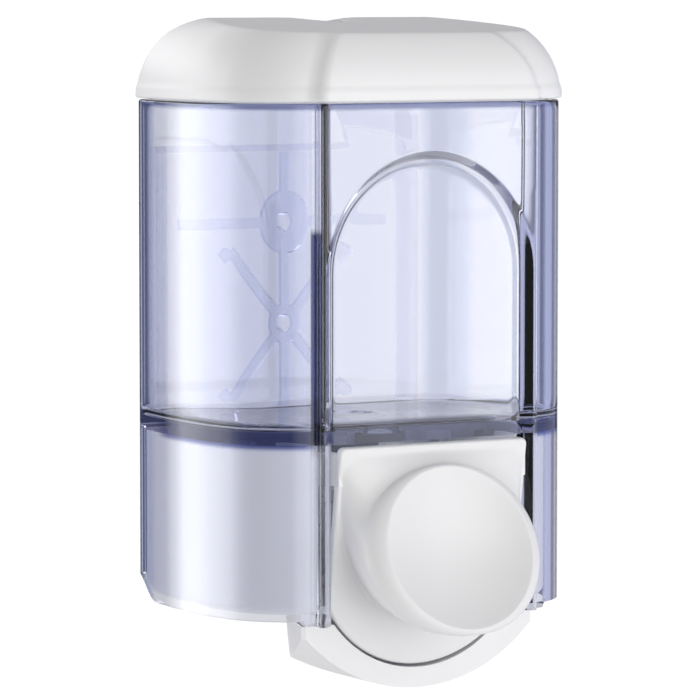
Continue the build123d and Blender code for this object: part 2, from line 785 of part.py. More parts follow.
# piston with its stem in one, and the seal in its groove
groove_in = piston_front_in + (piston_length - seal_width) / 2
groove_r = bore_r - seal_depth
spring_seat_r = spring_mean_r - spring_wire_r - 2 * seat_gap
with BuildPart() as piston:
    with BuildSketch(upright(piston_front_in)):
        with Locations((0, pump_z)):
            Circle(bore_r - piston_gap)
    extrude(amount=-piston_length)
    with BuildSketch(upright(stem_front_in)):
        with Locations((0, pump_z)):
            Circle(stem_r)
    extrude(amount=-(piston_front_in - stem_front_in))
    fillet(piston.edges().group_by(Axis.Y)[0], stem_round)
    with BuildSketch(upright(groove_in)):
        with Locations((0, pump_z)):
            Circle(bore_r)
            Circle(groove_r, mode=Mode.SUBTRACT)
    extrude(amount=-seal_width, mode=Mode.SUBTRACT)
    with BuildSketch(upright(piston_front_in + piston_length)):
        with Locations((0, pump_z)):
            Circle(spring_seat_r)
    extrude(amount=-seal_width)
piston.part.label = "piston"

with BuildPart() as piston_seal:
    with BuildSketch(upright(groove_in + seat_gap)):
        with Locations((0, pump_z)):
            Circle(bore_r - pin_fit)
            Circle(groove_r + pin_fit, mode=Mode.SUBTRACT)
    extrude(amount=-(seal_width - 2 * seat_gap))
piston_seal.part.label = "piston_seal"

# return spring: one round wire wound on biarcs, each a quarter turn
spring_start = front_y + piston_front_in + piston_length + spring_wire_r + seat_gap
spring_end = front_y + barrel_back_in - barrel_end - spring_wire_r - seat_gap
spring_pitch = (spring_end - spring_start) / spring_turns
spring_steps = 4 * spring_turns


def spring_point(turns):
    """Centre of the wire after a number of turns, and its direction there."""
    a = 2 * math.pi * turns
    rise = spring_pitch / (2 * math.pi * spring_mean_r)
    x, z = spring_mean_r * math.cos(a), pump_z + spring_mean_r * math.sin(a)
    way = Vector(-math.sin(a), rise, math.cos(a)).normalized()
    return Vector(x, spring_start + spring_pitch * turns, z), way


def biarc_joint(start, start_way, end, end_way):
    """Point where two arcs with equal handles meet between two placed directions."""
    chord = end - start
    ways = start_way + end_way
    slope = chord.dot(ways)
    bend = 2 * (1 - start_way.dot(end_way))
    handle = (-slope + math.sqrt(slope**2 + bend * chord.dot(chord))) / bend
    return (start + end + (start_way - end_way) * handle) / 2


with BuildPart() as return_spring:
    with BuildLine() as spring_path:
        for step in range(spring_steps):
            start, start_way = spring_point(step / 4)
            end, end_way = spring_point((step + 1) / 4)
            middle = biarc_joint(start, start_way, end, end_way)
            lead_arc = TangentArc(start, middle, tangent=start_way)
            TangentArc(middle, end, tangent=lead_arc % 1)
    with BuildSketch(Plane(origin=spring_path.line @ 0, z_dir=spring_path.line % 0)):
        Circle(spring_wire_r)
    sweep()
return_spring.part.label = "return_spring"
wire_points = [spring_point(i / 90)[0] for i in range(90 * spring_turns + 1)]
turn_gaps = [(wire_points[i + 90] - wire_points[i]).length for i in range(len(wire_points) - 90)]
print("return spring least gap", round(min(turn_gaps) - 2 * spring_wire_r, 3))

# inlet: cage below the ball, ball, and the grommet that seals the tower in the tank's collar
with BuildPart() as inlet_cage:
    with BuildSketch(level(cage_bottom)):
        with Locations((0, port_y)):
            Circle(cage_r - pin_fit)
    extrude(amount=cage_height)
    with BuildSketch(level(cage_bottom)):
        with Locations((0, port_y)):
            with PolarLocations(cage_r / 2, 3):
                Circle(cage_r / 4)
    extrude(amount=cage_height, mode=Mode.SUBTRACT)
inlet_cage.part.label = "inlet_cage"

with BuildPart() as inlet_ball:
    with Locations((0, port_y, ball_z)):
        Sphere(ball_r)
inlet_ball.part.label = "inlet_ball"

with BuildPart() as tank_grommet:
    with BuildSketch(level(floor_under - collar_length - grommet_flange)):
        with Locations((0, port_y)):
            Circle(grommet_r - pin_fit)
    extrude(amount=collar_length + grommet_flange - seat_gap)
    with BuildSketch(level(floor_under - collar_length - seat_gap)):
        with Locations((0, port_y)):
            Circle(grommet_flange_r)
    extrude(amount=seat_gap - grommet_flange)
    with BuildSketch(level(floor_under - collar_length - grommet_flange)):
        with Locations((0, port_y)):
            Circle(tower_r)
    extrude(amount=collar_length + grommet_flange, mode=Mode.SUBTRACT)
tank_grommet.part.label = "tank_grommet"

# outlet: spout pushed over the barrel's outlet, with a duckbill valve inside
spout_bottom = outlet_z - spout_length
spout_top = pump_z - barrel_r - seat_gap
spout_socket = outlet_z - seat_gap
valve_top = spout_socket - seat_gap
with BuildPart() as spout_nozzle:
    with BuildSketch(level(spout_socket)):
        with Locations((0, port_y)):
            Circle(spout_r)
    extrude(amount=spout_top - spout_socket - barrel_wall / 2)
    with BuildSketch(level(spout_bottom)):
        with Locations((0, port_y)):
            Circle(spout_bore_r + spout_wall)
    with BuildSketch(level(spout_socket)):
        with Locations((0, port_y)):
            Circle(spout_r)
    loft()
    with BuildSketch(level(spout_socket - valve_length)):
        with Locations((0, port_y)):
            Circle(spout_r - spout_wall)
    extrude(amount=valve_length + 2 * barrel_wall, mode=Mode.SUBTRACT)
    with BuildSketch(level(spout_bottom)):
        with Locations((0, port_y)):
            Circle(spout_bore_r)
    extrude(amount=spout_length, mode=Mode.SUBTRACT)
spout_nozzle.part.label = "spout_nozzle"

with BuildPart() as outlet_valve:
    with BuildSketch(level(valve_top)):
        with Locations((0, port_y)):
            Circle(spout_r - spout_wall - pin_fit)
    extrude(amount=-spout_wall)
    with BuildSketch(level(valve_top - spout_wall)):
        with Locations((0, port_y)):
            Circle(spout_bore_r)
    with BuildSketch(level(valve_top - valve_length + spout_wall)):
        with Locations((0, port_y)):
            Rectangle(2 * throat_r, throat_r / 2)
    loft()
    with BuildSketch(level(valve_top - valve_length + 2 * spout_wall)):
        with Locations((0, port_y)):
            Rectangle(throat_r, throat_r / 4)
    extrude(amount=valve_length - 2 * spout_wall, mode=Mode.SUBTRACT)
outlet_valve.part.label = "outlet_valve"


def pan_screw(place, seat_z, grip):
    """Pan head screw pointing up, its head under seat_z."""
    with BuildPart() as screw:
        with BuildSketch(level(seat_z)):
            with Locations(place):
                Circle(screw_r - pin_fit)
        extrude(amount=grip)
        with BuildSketch(level(seat_z)):
            with Locations(place):
                Circle(screw_head_r)
        extrude(amount=-screw_head)
        fillet(screw.edges().group_by(Axis.Z)[0], screw_head / 3)
        with BuildSketch(level(seat_z - screw_head)):
            with Locations(place):
                RegularPolygon(screw_r, 6)
        extrude(amount=screw_head / 2, mode=Mode.SUBTRACT)
    return screw.part


base_seat = post_top - base_wall - seat_gap
with BuildPart() as base_screws:
    for place in base_posts:
        add(pan_screw(place, base_seat, screw_grip + base_wall))
base_screws.part.label = "base_screws"

pump_seat = lug_z - pump_lug - seat_gap
with BuildPart() as pump_screws:
    for place in pump_posts:
        add(pan_screw(place, pump_seat, screw_grip + pump_lug))
pump_screws.part.label = "pump_screws"

os.makedirs("parts", exist_ok=True)
shells = (tank, wall_bracket, lid, base_housing, push_button)
lock = (lock_barrel, lock_cam, lock_screw)
pump = (pump_barrel, barrel_cap, piston, piston_seal, return_spring, inlet_cage, inlet_ball)
outlet = (tank_grommet, spout_nozzle, outlet_valve)
fasteners = (pivot_pin, base_screws, pump_screws)
for piece in shells + lock + pump + outlet + fasteners:
    export_step(piece.part, f"parts/{piece.part.label}.step")
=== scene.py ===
"""Wall mounted soap dispenser: clear tank, white lid, hinged button, base and the pump inside."""

import math

import bmesh
import bpy
import numpy as np
from mathutils import Matrix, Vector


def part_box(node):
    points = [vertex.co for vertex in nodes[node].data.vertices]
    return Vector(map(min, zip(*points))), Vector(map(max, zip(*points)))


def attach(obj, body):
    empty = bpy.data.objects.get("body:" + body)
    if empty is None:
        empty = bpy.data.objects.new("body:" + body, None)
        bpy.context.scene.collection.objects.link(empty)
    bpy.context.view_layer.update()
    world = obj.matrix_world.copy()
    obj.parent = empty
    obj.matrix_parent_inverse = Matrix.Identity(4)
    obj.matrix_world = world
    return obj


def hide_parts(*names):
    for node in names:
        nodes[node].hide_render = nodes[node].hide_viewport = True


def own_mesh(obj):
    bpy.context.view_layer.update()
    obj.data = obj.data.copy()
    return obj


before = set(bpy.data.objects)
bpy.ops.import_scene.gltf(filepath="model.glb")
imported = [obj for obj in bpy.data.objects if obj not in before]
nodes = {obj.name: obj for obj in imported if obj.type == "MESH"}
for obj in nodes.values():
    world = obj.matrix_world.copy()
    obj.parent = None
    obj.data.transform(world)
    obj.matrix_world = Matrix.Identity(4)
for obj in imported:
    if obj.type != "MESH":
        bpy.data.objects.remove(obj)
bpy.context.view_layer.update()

MM = 0.001
WELD, SLIVER = 2e-6, 1e-7
TOUCH = 1e-6
QUARTER = math.pi / 2

# sizes in millimetres, in the frame of the solids: wall at y = 0, front face of the tank at FRONT
FRONT, RIM, WALL = -74.0, 45.0, 3.0
TANK_BACK = -4.0
FLOOR_TOP, FLOOR_UNDER, FLOOR_ROUND = -33.8, -37.0, 2.4
RIM_ROUND = 0.7
PORT, PORT_R = (0.0, FRONT + 38.5), 5.2

# plan of the tank: flat block in front, hollow crease, shoulder, cheek, flank, rear corner, back
FRONT_HALF, SIDE_HALF, WIDEST = 31.0, 49.0, FRONT + 31.9
SHOULDER_R, CHEEK_R, FLANK_R, TAIL_R, TAIL_LEAST = 21.2, 53.0, 173.0, 8.7, 1.5
SHOULDER_TURN = math.radians(15.0)
BLOCK_R, HOLLOW_R = 1.2, 1.0
REAR_HALF = 33.3
FRONT_STEPS, BACK_STEPS, ROW_STEP = 22, 7, 3

# arched recess in the front, outside and inside
ARCH_Z = RIM - 41.2
ARCH_OUT, ARCH_IN, ARCH_DEPTH, ARCH_SOFT = 29.3, 26.6, 2.8, 0.16
INNER_OUT, INNER_RUN, INNER_DEPTH, INNER_SOFT, INNER_REACH = 28.3, 2.7, 2.2, 0.25, 0.6
OUTER_RADII = [
    0, 6, 12, 17, 21, 24, 25.2, 25.8, 26.1, 26.35, 26.6, 26.85, 27.2, 27.6,
    28.0, 28.4, 28.7, 28.95, 29.15, 29.3, 29.45,
]
OUTER_BEYOND = [29.6, 29.9, 30.6, 32]
INNER_RADII = [0, 6, 12, 17, 21, 23.5, 24.6, 25.2, 25.6, 25.9, 26.2, 26.5]
INNER_BEYOND = [26.9, 27.3, 27.7, 28.0, 28.3, 28.6, 29.0, 30]

# skirt below the tank: opening for the button, lower edges and the slant of the rear corners
OPENING_HALF = 27.2
CHEEK_LOW, LEG_LOW, LEG_BACK, SKIN_FRONT = -79.4, -80.6, FRONT + 4.2, FRONT + 4.8
SKIRT_SLANT, SLANT_FROM, SLANT_RUN = 6.0, 17.0, 12.5

# lid and its lock
LOCK, LOCK_TOP = (0.0, TANK_BACK - 19.0), 64.0
LID_LOW, LID_R, LID_RISE, LID_SLOPE = RIM + 0.3, 19.3, 20.2, math.tan(math.radians(4.3))
LID_FLAT = LID_LOW + LID_RISE * math.sin(math.radians(82.0))
LID_BROW, LID_BROW_Y, LID_BLEND = 16.5, 8.0, 0.3
TROUGH_R, TROUGH_HALF, TROUGH_FROM, TROUGH_RUN = 34.0, 20.0, -38.0, 6.0
LID_REAR_HALF = 24.0
LID_PLAN = (3.0, 5.0, LID_REAR_HALF)
LID_TURN, LID_ROWS, LID_AHEAD = math.radians(84.0), 240, 4.0
LID_WALL, LID_PROUD, LIP_R = 2.2, 0.8, 0.7
LID_SOFT, CEILING_SOFT = 0.9, 0.6
BEAD, BEAD_FROM, BEAD_RUN = 0.28, 2.2, 1.8
COLLAR_OUT, COLLAR_IN, COLLAR_LOW, COLLAR_BEVEL = 3.4, 5.2, RIM - 1.6, 0.2
LOCK_BOSS_R, LOCK_BOSS_LOW, BORE_R, SEAT_R, SEAT_DEPTH = 7.6, 50.3, 4.28, 5.48, 1.2

# button: tilted dish, leaning flange, boss between them, nose and hinge ears
LEAN, TILT = math.radians(8.1), math.radians(20.0)
ACROSS = np.array([1.0, 0.0, 0.0])
DISH = np.array([0.0, FRONT - 13.4, RIM - 106.7])
DISH_UP = np.array([0.0, math.sin(TILT), math.cos(TILT)])
DISH_OUT = np.array([0.0, -math.cos(TILT), math.sin(TILT)])
DISH_R, DISH_DEPTH, DISH_EDGE = 20.0, 5.0, 19.0
FLANGE = np.array([0.0, FRONT - 1.6, FLOOR_UNDER - 0.6])
FLANGE_UP = np.array([0.0, -math.sin(LEAN), math.cos(LEAN)])
FLANGE_OUT = np.array([0.0, -math.cos(LEAN), -math.sin(LEAN)])
FLANGE_MIDDLE = np.array([0.0, -24.4])
PLATE_HALF, PLATE_LONG, PLATE_R, PLATE_CORNER = 26.6, 55.35, 30.0, 1.4
PLATE_ROUND, PLATE_BACK, PLATE_BEVEL, PLATE_EDGE = 0.7, -2.2, 0.4, 0.9
FOOT_HALF, FOOT_TOP, FOOT_BEND, FOOT_BOW, FOOT_CORNER, FOOT_SPREAD = 25.6, -1.8, -9.4, 34.6, 5.0, 1.6
FOOT_MOST, BOSS_LEAVE, BOSS_ARRIVE, BOSS_TURN, BOSS_OUT, BOSS_IN = 0.3, 0.9, 0.6, 0.4, 0.966, 0.26
CAVITY_R, CAVITY_FLOOR, CAVITY_INSET, CAVITY_CORNER = 15.0, -9.0, 4.4, 2.2
# shoulder: (radius, rise) above and below the dish, and what is added at its sides; crest: (radius, rise)
SHOULDER_BACK, BACK_MORE = (21.3, -1.4), (3.1, -3.0)
SHOULDER_CROWN, CROWN_MORE = (21.1, -0.2), (2.6, -0.9)
CREST = ((20.2, 0.0), (20.02, 0.0), (19.3, -0.366))
NOSE_R, NOSE_START, NOSE_END = 4.0, FRONT - 6.0, FRONT + 10.5
PIN, PUMP_Z = (FRONT + 10.4, RIM - 88.0), RIM - 108.0
EAR_R, EAR_LONG, EAR_HOLE, EAR_IN, EAR_OUT = 3.8, 10.9, 1.55, 23.6, 26.6

# what the tank carries: gap that keeps it off the walls, outlet collar, posts for screws, hook and rails
GAP = 0.03
OUTLET_OUT, OUTLET_IN, OUTLET_LONG, OUTLET_BEVEL = 9.0, 7.0, 7.0, 0.4
POST_R, POST_BEVEL, POST_HOLE, POST_DEEP = 3.6, 0.4, 1.4, 7.0
BASE_POSTS, BASE_POST_LONG = ((36.5, FRONT + 25.0), (36.0, FRONT + 57.0)), 9.0
PUMP_POSTS, PUMP_POST_LONG = ((14.5, FRONT + 32.0),), 14.0
HOOK_HALF, HOOK_WALL, HOOK_OFF, HOOK_FOOT, HOOK_TOP = 6.5, 2.4, 2.7, RIM - 4.5, 52.5
RAIL_OUT, RAIL_WALL, RAIL_IN, RAIL_OFF, RAIL_LIP = 37.9, 1.6, 33.1, 2.35, 1.2
RAIL_LOW, RAIL_TOP, STOP_HALF = RIM - 81.0, RIM - 12.1, 36.2

SPRING_R, SPRING_WIRE, SPRING_TURNS, PISTON_TRAVEL = 5.0, 0.5, 5, 4.9


class Shell:
    """Collects grids and flat caps of points in millimetres, then welds them into one closed mesh."""

    def __init__(self):
        self.points, self.faces, self.count = [], [], 0

    def sheet(self, grid):
        """Adds a grid of points, rows by columns by 3."""
        grid = np.asarray(grid, float)
        rows, cols = grid.shape[:2]
        number = np.arange(rows * cols).reshape(rows, cols) + self.count
        quads = [number[:-1, :-1], number[1:, :-1], number[1:, 1:], number[:-1, 1:]]
        self.faces += np.stack(quads, -1).reshape(-1, 4).tolist()
        self.points.append(grid.reshape(-1, 3))
        self.count += rows * cols

    def cap(self, loop):
        """Adds one flat face round a loop of points."""
        loop = np.asarray(loop, float)
        self.faces.append(list(range(self.count, self.count + len(loop))))
        self.points.append(loop)
        self.count += len(loop)

    def mirrored(self):
        """Adds the left half: x turned to -x."""
        points = np.concatenate(self.points)
        start = self.count
        self.faces += [[start + i for i in reversed(face)] for face in self.faces]
        self.points.append(points * np.array([-1.0, 1.0, 1.0]))
        self.count += len(points)

    def build(self, name, body, material, replaced=(), crease=35.0):
        """Welds, turns the faces outward, shades smooth up to the crease angle and rides on a body."""
        mesh = bpy.data.meshes.new(name)
        mesh.from_pydata((np.concatenate(self.points) * MM).tolist(), [], self.faces)
        work = bmesh.new()
        work.from_mesh(mesh)
        bmesh.ops.remove_doubles(work, verts=work.verts, dist=WELD)
        bmesh.ops.dissolve_degenerate(work, edges=work.edges, dist=SLIVER)
        bmesh.ops.recalc_face_normals(work, faces=work.faces)
        work.to_mesh(mesh)
        work.free()
        mesh.shade_smooth()
        mesh.set_sharp_from_angle(angle=math.radians(crease))
        mesh.materials.append(material)
        piece = bpy.data.objects.new(name, mesh)
        bpy.context.scene.collection.objects.link(piece)
        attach(piece, body)
        if replaced:
            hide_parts(*replaced)
        return piece


def smooth(t):
    """Smooth step: 0 below 0, 1 above 1, t t (3 - 2 t) between."""
    t = np.clip(t, 0, 1)
    return t * t * (3 - 2 * t)


def curve(t, start, middle, end):
    """Quadratic curve (1 - t)^2 start + 2 t (1 - t) middle + t^2 end."""
    return (1 - t) ** 2 * start + 2 * t * (1 - t) * middle + t * t * end


def on_plane(xy, z):
    """Points of a plan lifted to a height, which may differ from point to point."""
    xy = np.asarray(xy, float)
    return np.column_stack([xy, np.broadcast_to(z, len(xy))])


def arc(centre, radius, start, end, count):
    """count points of centre + radius (cos a, sin a), from one angle to another."""
    a = np.linspace(start, end, count)
    return np.column_stack([centre[0] + radius * np.cos(a), centre[1] + radius * np.sin(a)])


def line(start, end, count=60):
    """Evenly spaced points from start to end."""
    return np.linspace(start, end, count)


def toward(loop, centre, radius):
    """Points of a circle in plan, each in the direction of one point of the loop."""
    a = np.arctan2(loop[:, 1] - centre[1], loop[:, 0] - centre[0])
    return np.column_stack([centre[0] + radius * np.cos(a), centre[1] + radius * np.sin(a)])


def revolved(along, radii, centre):
    """Surface of revolution about a line through centre: centre + r (cos a, sin a), then the place along it."""
    a = np.linspace(0, 2 * math.pi, 49)
    along, radii = np.asarray(along)[:, None], np.asarray(radii)[:, None]
    third = np.broadcast_to(along, (len(along), len(a)))
    return np.stack([centre[0] + radii * np.cos(a), centre[1] + radii * np.sin(a), third], -1)


def rows_down(high, low):
    """Heights from high down to low, about ROW_STEP apart."""
    return np.linspace(high, low, max(int((high - low) / ROW_STEP), 2))


def plan_edge(inset, corner_r=BLOCK_R):
    """Half width of the flat front where the block's corner begins."""
    return FRONT_HALF - inset - corner_r


def plan_rest(inset, corner_r=BLOCK_R, hollow_r=HOLLOW_R, rear_half=REAR_HALF):
    """Right half of the plan drawn in by inset, from the block's corner round to the middle of the back.

    Arcs in turn: corner, hollow crease, shoulder, cheek, flank, rear corner, then the straight back.
    """
    reach = CHEEK_R - SHOULDER_R
    cheek, flank = (SIDE_HALF - CHEEK_R, WIDEST), (SIDE_HALF - FLANK_R, WIDEST)
    shoulder = (cheek[0] + reach * math.cos(SHOULDER_TURN), WIDEST - reach * math.sin(SHOULDER_TURN))
    tail_r = max(TAIL_R - inset, TAIL_LEAST)
    back = TANK_BACK - inset
    swing, tail_y = FLANK_R - inset - tail_r, back - tail_r
    tail = (flank[0] + math.sqrt(swing**2 - (tail_y - flank[1]) ** 2), tail_y)
    turn = math.asin((tail_y - flank[1]) / swing)
    # the crease's circle touches the corner's and the shoulder's
    edge = (plan_edge(inset, corner_r), FRONT + inset + corner_r)
    ra, rb = corner_r + hollow_r, SHOULDER_R - inset + hollow_r
    dx, dy = shoulder[0] - edge[0], shoulder[1] - edge[1]
    gap = math.hypot(dx, dy)
    along = (ra**2 - rb**2 + gap**2) / (2 * gap)
    across = math.sqrt(ra**2 - along**2)
    hollow = (edge[0] + (along * dx + across * dy) / gap, edge[1] + (along * dy - across * dx) / gap)
    lead = math.atan2(hollow[1] - edge[1], hollow[0] - edge[0])
    fall = math.atan2(hollow[1] - shoulder[1], hollow[0] - shoulder[0])
    return np.concatenate([
        arc(edge, corner_r, -QUARTER, lead, 10),
        arc(hollow, hollow_r, lead + math.pi, fall + math.pi, 10)[1:],
        arc(shoulder, SHOULDER_R - inset, fall, -SHOULDER_TURN, 34)[1:],
        arc(cheek, CHEEK_R - inset, -SHOULDER_TURN, 0, 10)[1:],
        arc(flank, FLANK_R - inset, 0, turn, 14)[1:],
        arc(tail, tail_r, turn, QUARTER, 12)[1:],
        line((rear_half, back), (0, back), BACK_STEPS),
    ])


def half_loop(inset, corner_r=BLOCK_R, hollow_r=HOLLOW_R, rear_half=REAR_HALF):
    """Right half of the plan drawn in by inset, from the middle of the front to the middle of the back."""
    y = FRONT + inset
    front = line((0, y), (plan_edge(inset, corner_r), y), FRONT_STEPS)
    return np.concatenate([front, plan_rest(inset, corner_r, hollow_r, rear_half)[1:]])


REST_REAR = len(plan_rest(0)) - BACK_STEPS


def soft_ramp(t, soft):
    """0 below 0, 1 above 1, straight between, with rounded ends."""
    def bend(u):
        return 0.5 * (u + np.sqrt(u * u + soft * soft))
    return bend(t) - bend(t - 1)


def arch_distance(x, z):
    """Distance from the arch's centre above it, and from its middle line below it."""
    return np.where(z > ARCH_Z, np.hypot(x, z - ARCH_Z), np.abs(x))


def outer_depth(x, z):
    """How far the front face is sunk: a bevel round the arched pane."""
    return ARCH_DEPTH * soft_ramp((ARCH_OUT - arch_distance(x, z)) / (ARCH_OUT - ARCH_IN), ARCH_SOFT)


def inner_depth(x, z):
    """Inner front surface: follows the sunk pane with a nearly even wall."""
    return WALL + INNER_DEPTH * soft_ramp((INNER_OUT - arch_distance(x, z)) / INNER_RUN, INNER_SOFT)


def face_row(x, depth, z):
    """Points of a front face at the places x and one height."""
    z = np.full(len(x), z)
    return np.column_stack([x, FRONT + depth(x, z), z])


def front_sheets(shell, edge, radii, beyond, depth, z_rows, low, leg=None):
    """Front face as rings round the arch above its centre and columns below it.

    Rings: centre + r (cos a, sin a) up to the last radius, then on to the straight border. Columns: x = r,
    down to low, and where leg = (x, z) is given, those from x outward on down to z.
    """
    side = np.column_stack([np.full(len(z_rows), edge), z_rows])
    roof = line((edge, z_rows[-1]), (0, z_rows[-1]), FRONT_STEPS)
    border = np.concatenate([side, roof[1:]])
    a = np.arctan2(border[:, 1] - ARCH_Z, border[:, 0])
    far = np.hypot(border[:, 0], border[:, 1] - ARCH_Z)
    share = np.arange(1, len(beyond) + 1) / (len(beyond) + 1)
    rings = [np.minimum(r, far) for r in radii]
    rings += [np.minimum(r, radii[-1] + (far - radii[-1]) * s) for r, s in zip(beyond, share)]
    r = np.stack([*rings, far], 1)
    x, z = r * np.cos(a)[:, None], ARCH_Z + r * np.sin(a)[:, None]
    shell.sheet(np.stack([x, FRONT + depth(x, z), z], -1))
    columns = r[0]
    spans = [(columns, ARCH_Z, low)]
    if leg:
        spans.append((columns[columns >= leg[0] - TOUCH], low, leg[1]))
    for kept, high, end in spans:
        shell.sheet(np.stack([face_row(kept, depth, height) for height in rows_down(high, end)]))
    return columns


def floor_round(loop, foot):
    """Rows of a quarter round from the wall's foot to the floor, square to the loop in plan."""
    plan = loop[:, :2]
    way = np.diff(plan, axis=0)
    way /= np.linalg.norm(way, axis=1)[:, None]
    run = np.concatenate([way[:1], way]) + np.concatenate([way, way[-1:]])
    run /= np.linalg.norm(run, axis=1)[:, None]
    inward = np.column_stack([-run[:, 1], run[:, 0]])
    rows = []
    for v in np.linspace(0, QUARTER, 6):
        row = on_plane(plan + inward * FLOOR_ROUND * (1 - math.cos(v)), foot - FLOOR_ROUND * math.sin(v))
        row[:, 0] = np.maximum(row[:, 0], 0)
        row[0, 0] = row[-1, 0] = 0
        rows.append(row)
    return rows


def make_tank(material):
    """Clear tank and skirt in one closed wall: outer face, rim, inner face, floor and the two side panels.

    Walls: the plan at each height. Front faces: y = FRONT + depth(x, z).
    """
    shell = Shell()
    top = RIM - RIM_ROUND
    z_rows = np.linspace(ARCH_Z, top, 18)
    outer, inner = plan_rest(0), plan_rest(WALL)
    columns = front_sheets(shell, plan_edge(0), OUTER_RADII, OUTER_BEYOND, outer_depth, z_rows,
                           FLOOR_UNDER, leg=(OPENING_HALF, LEG_LOW))
    # outer wall beside and behind the front face, down to the floor's underside
    heights = np.concatenate([z_rows[::-1], rows_down(ARCH_Z, FLOOR_UNDER)[1:]])
    shell.sheet(np.stack([on_plane(outer, z) for z in heights]))
    # rim: quarter rounds and a flat between them
    t = np.linspace(0, QUARTER, 5)
    steps = [(RIM_ROUND * (1 - math.cos(v)), top + RIM_ROUND * math.sin(v)) for v in t]
    steps += [(WALL - i, z) for i, z in reversed(steps)]
    shell.sheet(np.stack([on_plane(half_loop(i), z) for i, z in steps]))
    # inner wall down to the rounded edge of the floor
    foot = FLOOR_TOP + FLOOR_ROUND
    inner_columns = front_sheets(shell, plan_edge(WALL), INNER_RADII, INNER_BEYOND, inner_depth, z_rows, foot)
    near = inner[:, 0] < FRONT_HALF - WALL + INNER_REACH

    def inner_row(z):
        row = on_plane(inner, z)
        sunk = FRONT + inner_depth(row[:, 0], row[:, 2])
        row[:, 1] = np.where(near, np.maximum(row[:, 1], sunk), row[:, 1])
        return row

    inner_heights = np.concatenate([z_rows[::-1], rows_down(ARCH_Z, foot)[1:]])
    shell.sheet(np.stack([inner_row(z) for z in inner_heights]))
    # floor: quarter round into a flat with the outlet
    rows = floor_round(np.concatenate([face_row(inner_columns, inner_depth, foot), inner_row(foot)[1:]]), foot)
    shell.sheet(np.stack(rows))
    port = arc(PORT, PORT_R, QUARTER, -QUARTER, 24)
    shell.cap(np.concatenate([rows[-1], on_plane(port, FLOOR_TOP)]))
    shell.sheet(np.stack([on_plane(port, FLOOR_TOP), on_plane(port, FLOOR_UNDER)]))
    # side panels of the skirt: outer and inner faces, lower edges and end faces
    shares = np.linspace(0, 1, 16)

    def hung(plan, low):
        return np.stack([on_plane(plan, FLOOR_UNDER + s * (low - FLOOR_UNDER)) for s in shares])

    leg = outer[:REST_REAR + 1]
    slant = SKIRT_SLANT * smooth((leg[:, 1] - TANK_BACK + SLANT_FROM) / SLANT_RUN)
    leg_low = np.where(leg[:, 1] < LEG_BACK, LEG_LOW, CHEEK_LOW) + slant
    skin = np.maximum(inner[:REST_REAR + 1], (OPENING_HALF, SKIN_FRONT))
    outside, inside = hung(leg, leg_low), hung(skin, leg_low)
    shell.sheet(outside)
    shell.sheet(inside)
    shell.sheet(np.stack([outside[-1], inside[-1]]))
    shell.sheet(np.stack([outside[:, -1], inside[:, -1]], 1))
    lips = columns[columns >= OPENING_HALF - TOUCH]
    leg_front = hung(face_row(lips, outer_depth, FLOOR_UNDER)[:, :2], LEG_LOW)
    shell.sheet(np.stack([leg_front[:, 0], inside[:, 0]], 1))
    shell.cap(np.concatenate([leg_front[-1], inside[-1][:1]]))
    # underside of the floor
    face = face_row(columns[columns <= OPENING_HALF + TOUCH], outer_depth, FLOOR_UNDER)
    under = [face, inside[0], on_plane(outer[REST_REAR:], FLOOR_UNDER), on_plane(port, FLOOR_UNDER)]
    shell.cap(np.concatenate(under))
    shell.mirrored()
    return shell.build("tank_shell", "housing", material, ["tank"], crease=50.0)


def lid_top(x, y):
    """Height of the lid's top: a plane that rises to a flat at the back, with a trough round the lock."""
    short = LID_FLAT - LID_LOW - LID_BROW - LID_SLOPE * (y - FRONT - LID_BROW_Y)
    plane = LID_FLAT - 0.5 * (short + np.sqrt(short * short + LID_BLEND**2))
    trough = LOCK_TOP + TROUGH_R - np.sqrt(TROUGH_R**2 - np.minimum(np.abs(x), TROUGH_HALF) ** 2)
    return plane - np.maximum(plane - trough, 0) * smooth((y - TROUGH_FROM) / TROUGH_RUN)


def lid_skin(edge_r, rise, start, low, drop, bead):
    """Rounded edge of the lid from height low up, and the loop where it meets the top lowered by drop.

    Column by column: inset = start + R (1 - cos t) + bead, z = LID_LOW + rise sin t, up to z = lid_top - drop.
    """
    t = np.linspace(math.asin((low - LID_LOW) / rise), LID_TURN, LID_ROWS)
    z = LID_LOW + rise * np.sin(t)
    insets = start + edge_r * (1 - np.cos(t)) + bead * smooth((z - LID_LOW - BEAD_FROM) / BEAD_RUN)
    dense = np.stack([on_plane(half_loop(i, *LID_PLAN), height) for i, height in zip(insets, z)])
    over = dense[..., 2] - lid_top(dense[..., 0], dense[..., 1]) + drop
    column = np.arange(dense.shape[1])
    first = np.maximum(np.argmax(over > 0, 0), 1)
    below, above = over[first - 1, column], over[first, column]
    meet = first - 1 + below / (below - above)

    def at(row):
        whole = np.clip(row.astype(int), 0, LID_ROWS - 2)
        part = (row - whole)[..., None]
        return dense[whole, column] * (1 - part) + dense[whole + 1, column] * part

    return at, meet


def lid_edge(edge_r, rise, start, low, drop, soft, bead=0.0):
    """Rows of the rounded edge, a soft corner of the given width, and the first row on the top."""
    at, meet = lid_skin(edge_r, rise, start, low, drop, bead)
    per_mm = (LID_ROWS - 1) / (edge_r * LID_TURN)
    side = at(np.linspace(0, 1, 46)[:, None] * (meet - soft * per_mm))
    corner = at(meet)
    inward = at(meet + LID_AHEAD)[:, :2] - corner[:, :2]
    after = corner.copy()
    after[:, :2] += soft * inward / np.linalg.norm(inward, axis=1)[:, None]
    after[:, 2] = lid_top(after[:, 0], after[:, 1]) - drop
    s = np.linspace(0, 1, 8)[1:, None, None]
    return np.concatenate([side, curve(s, side[-1], corner, after)])


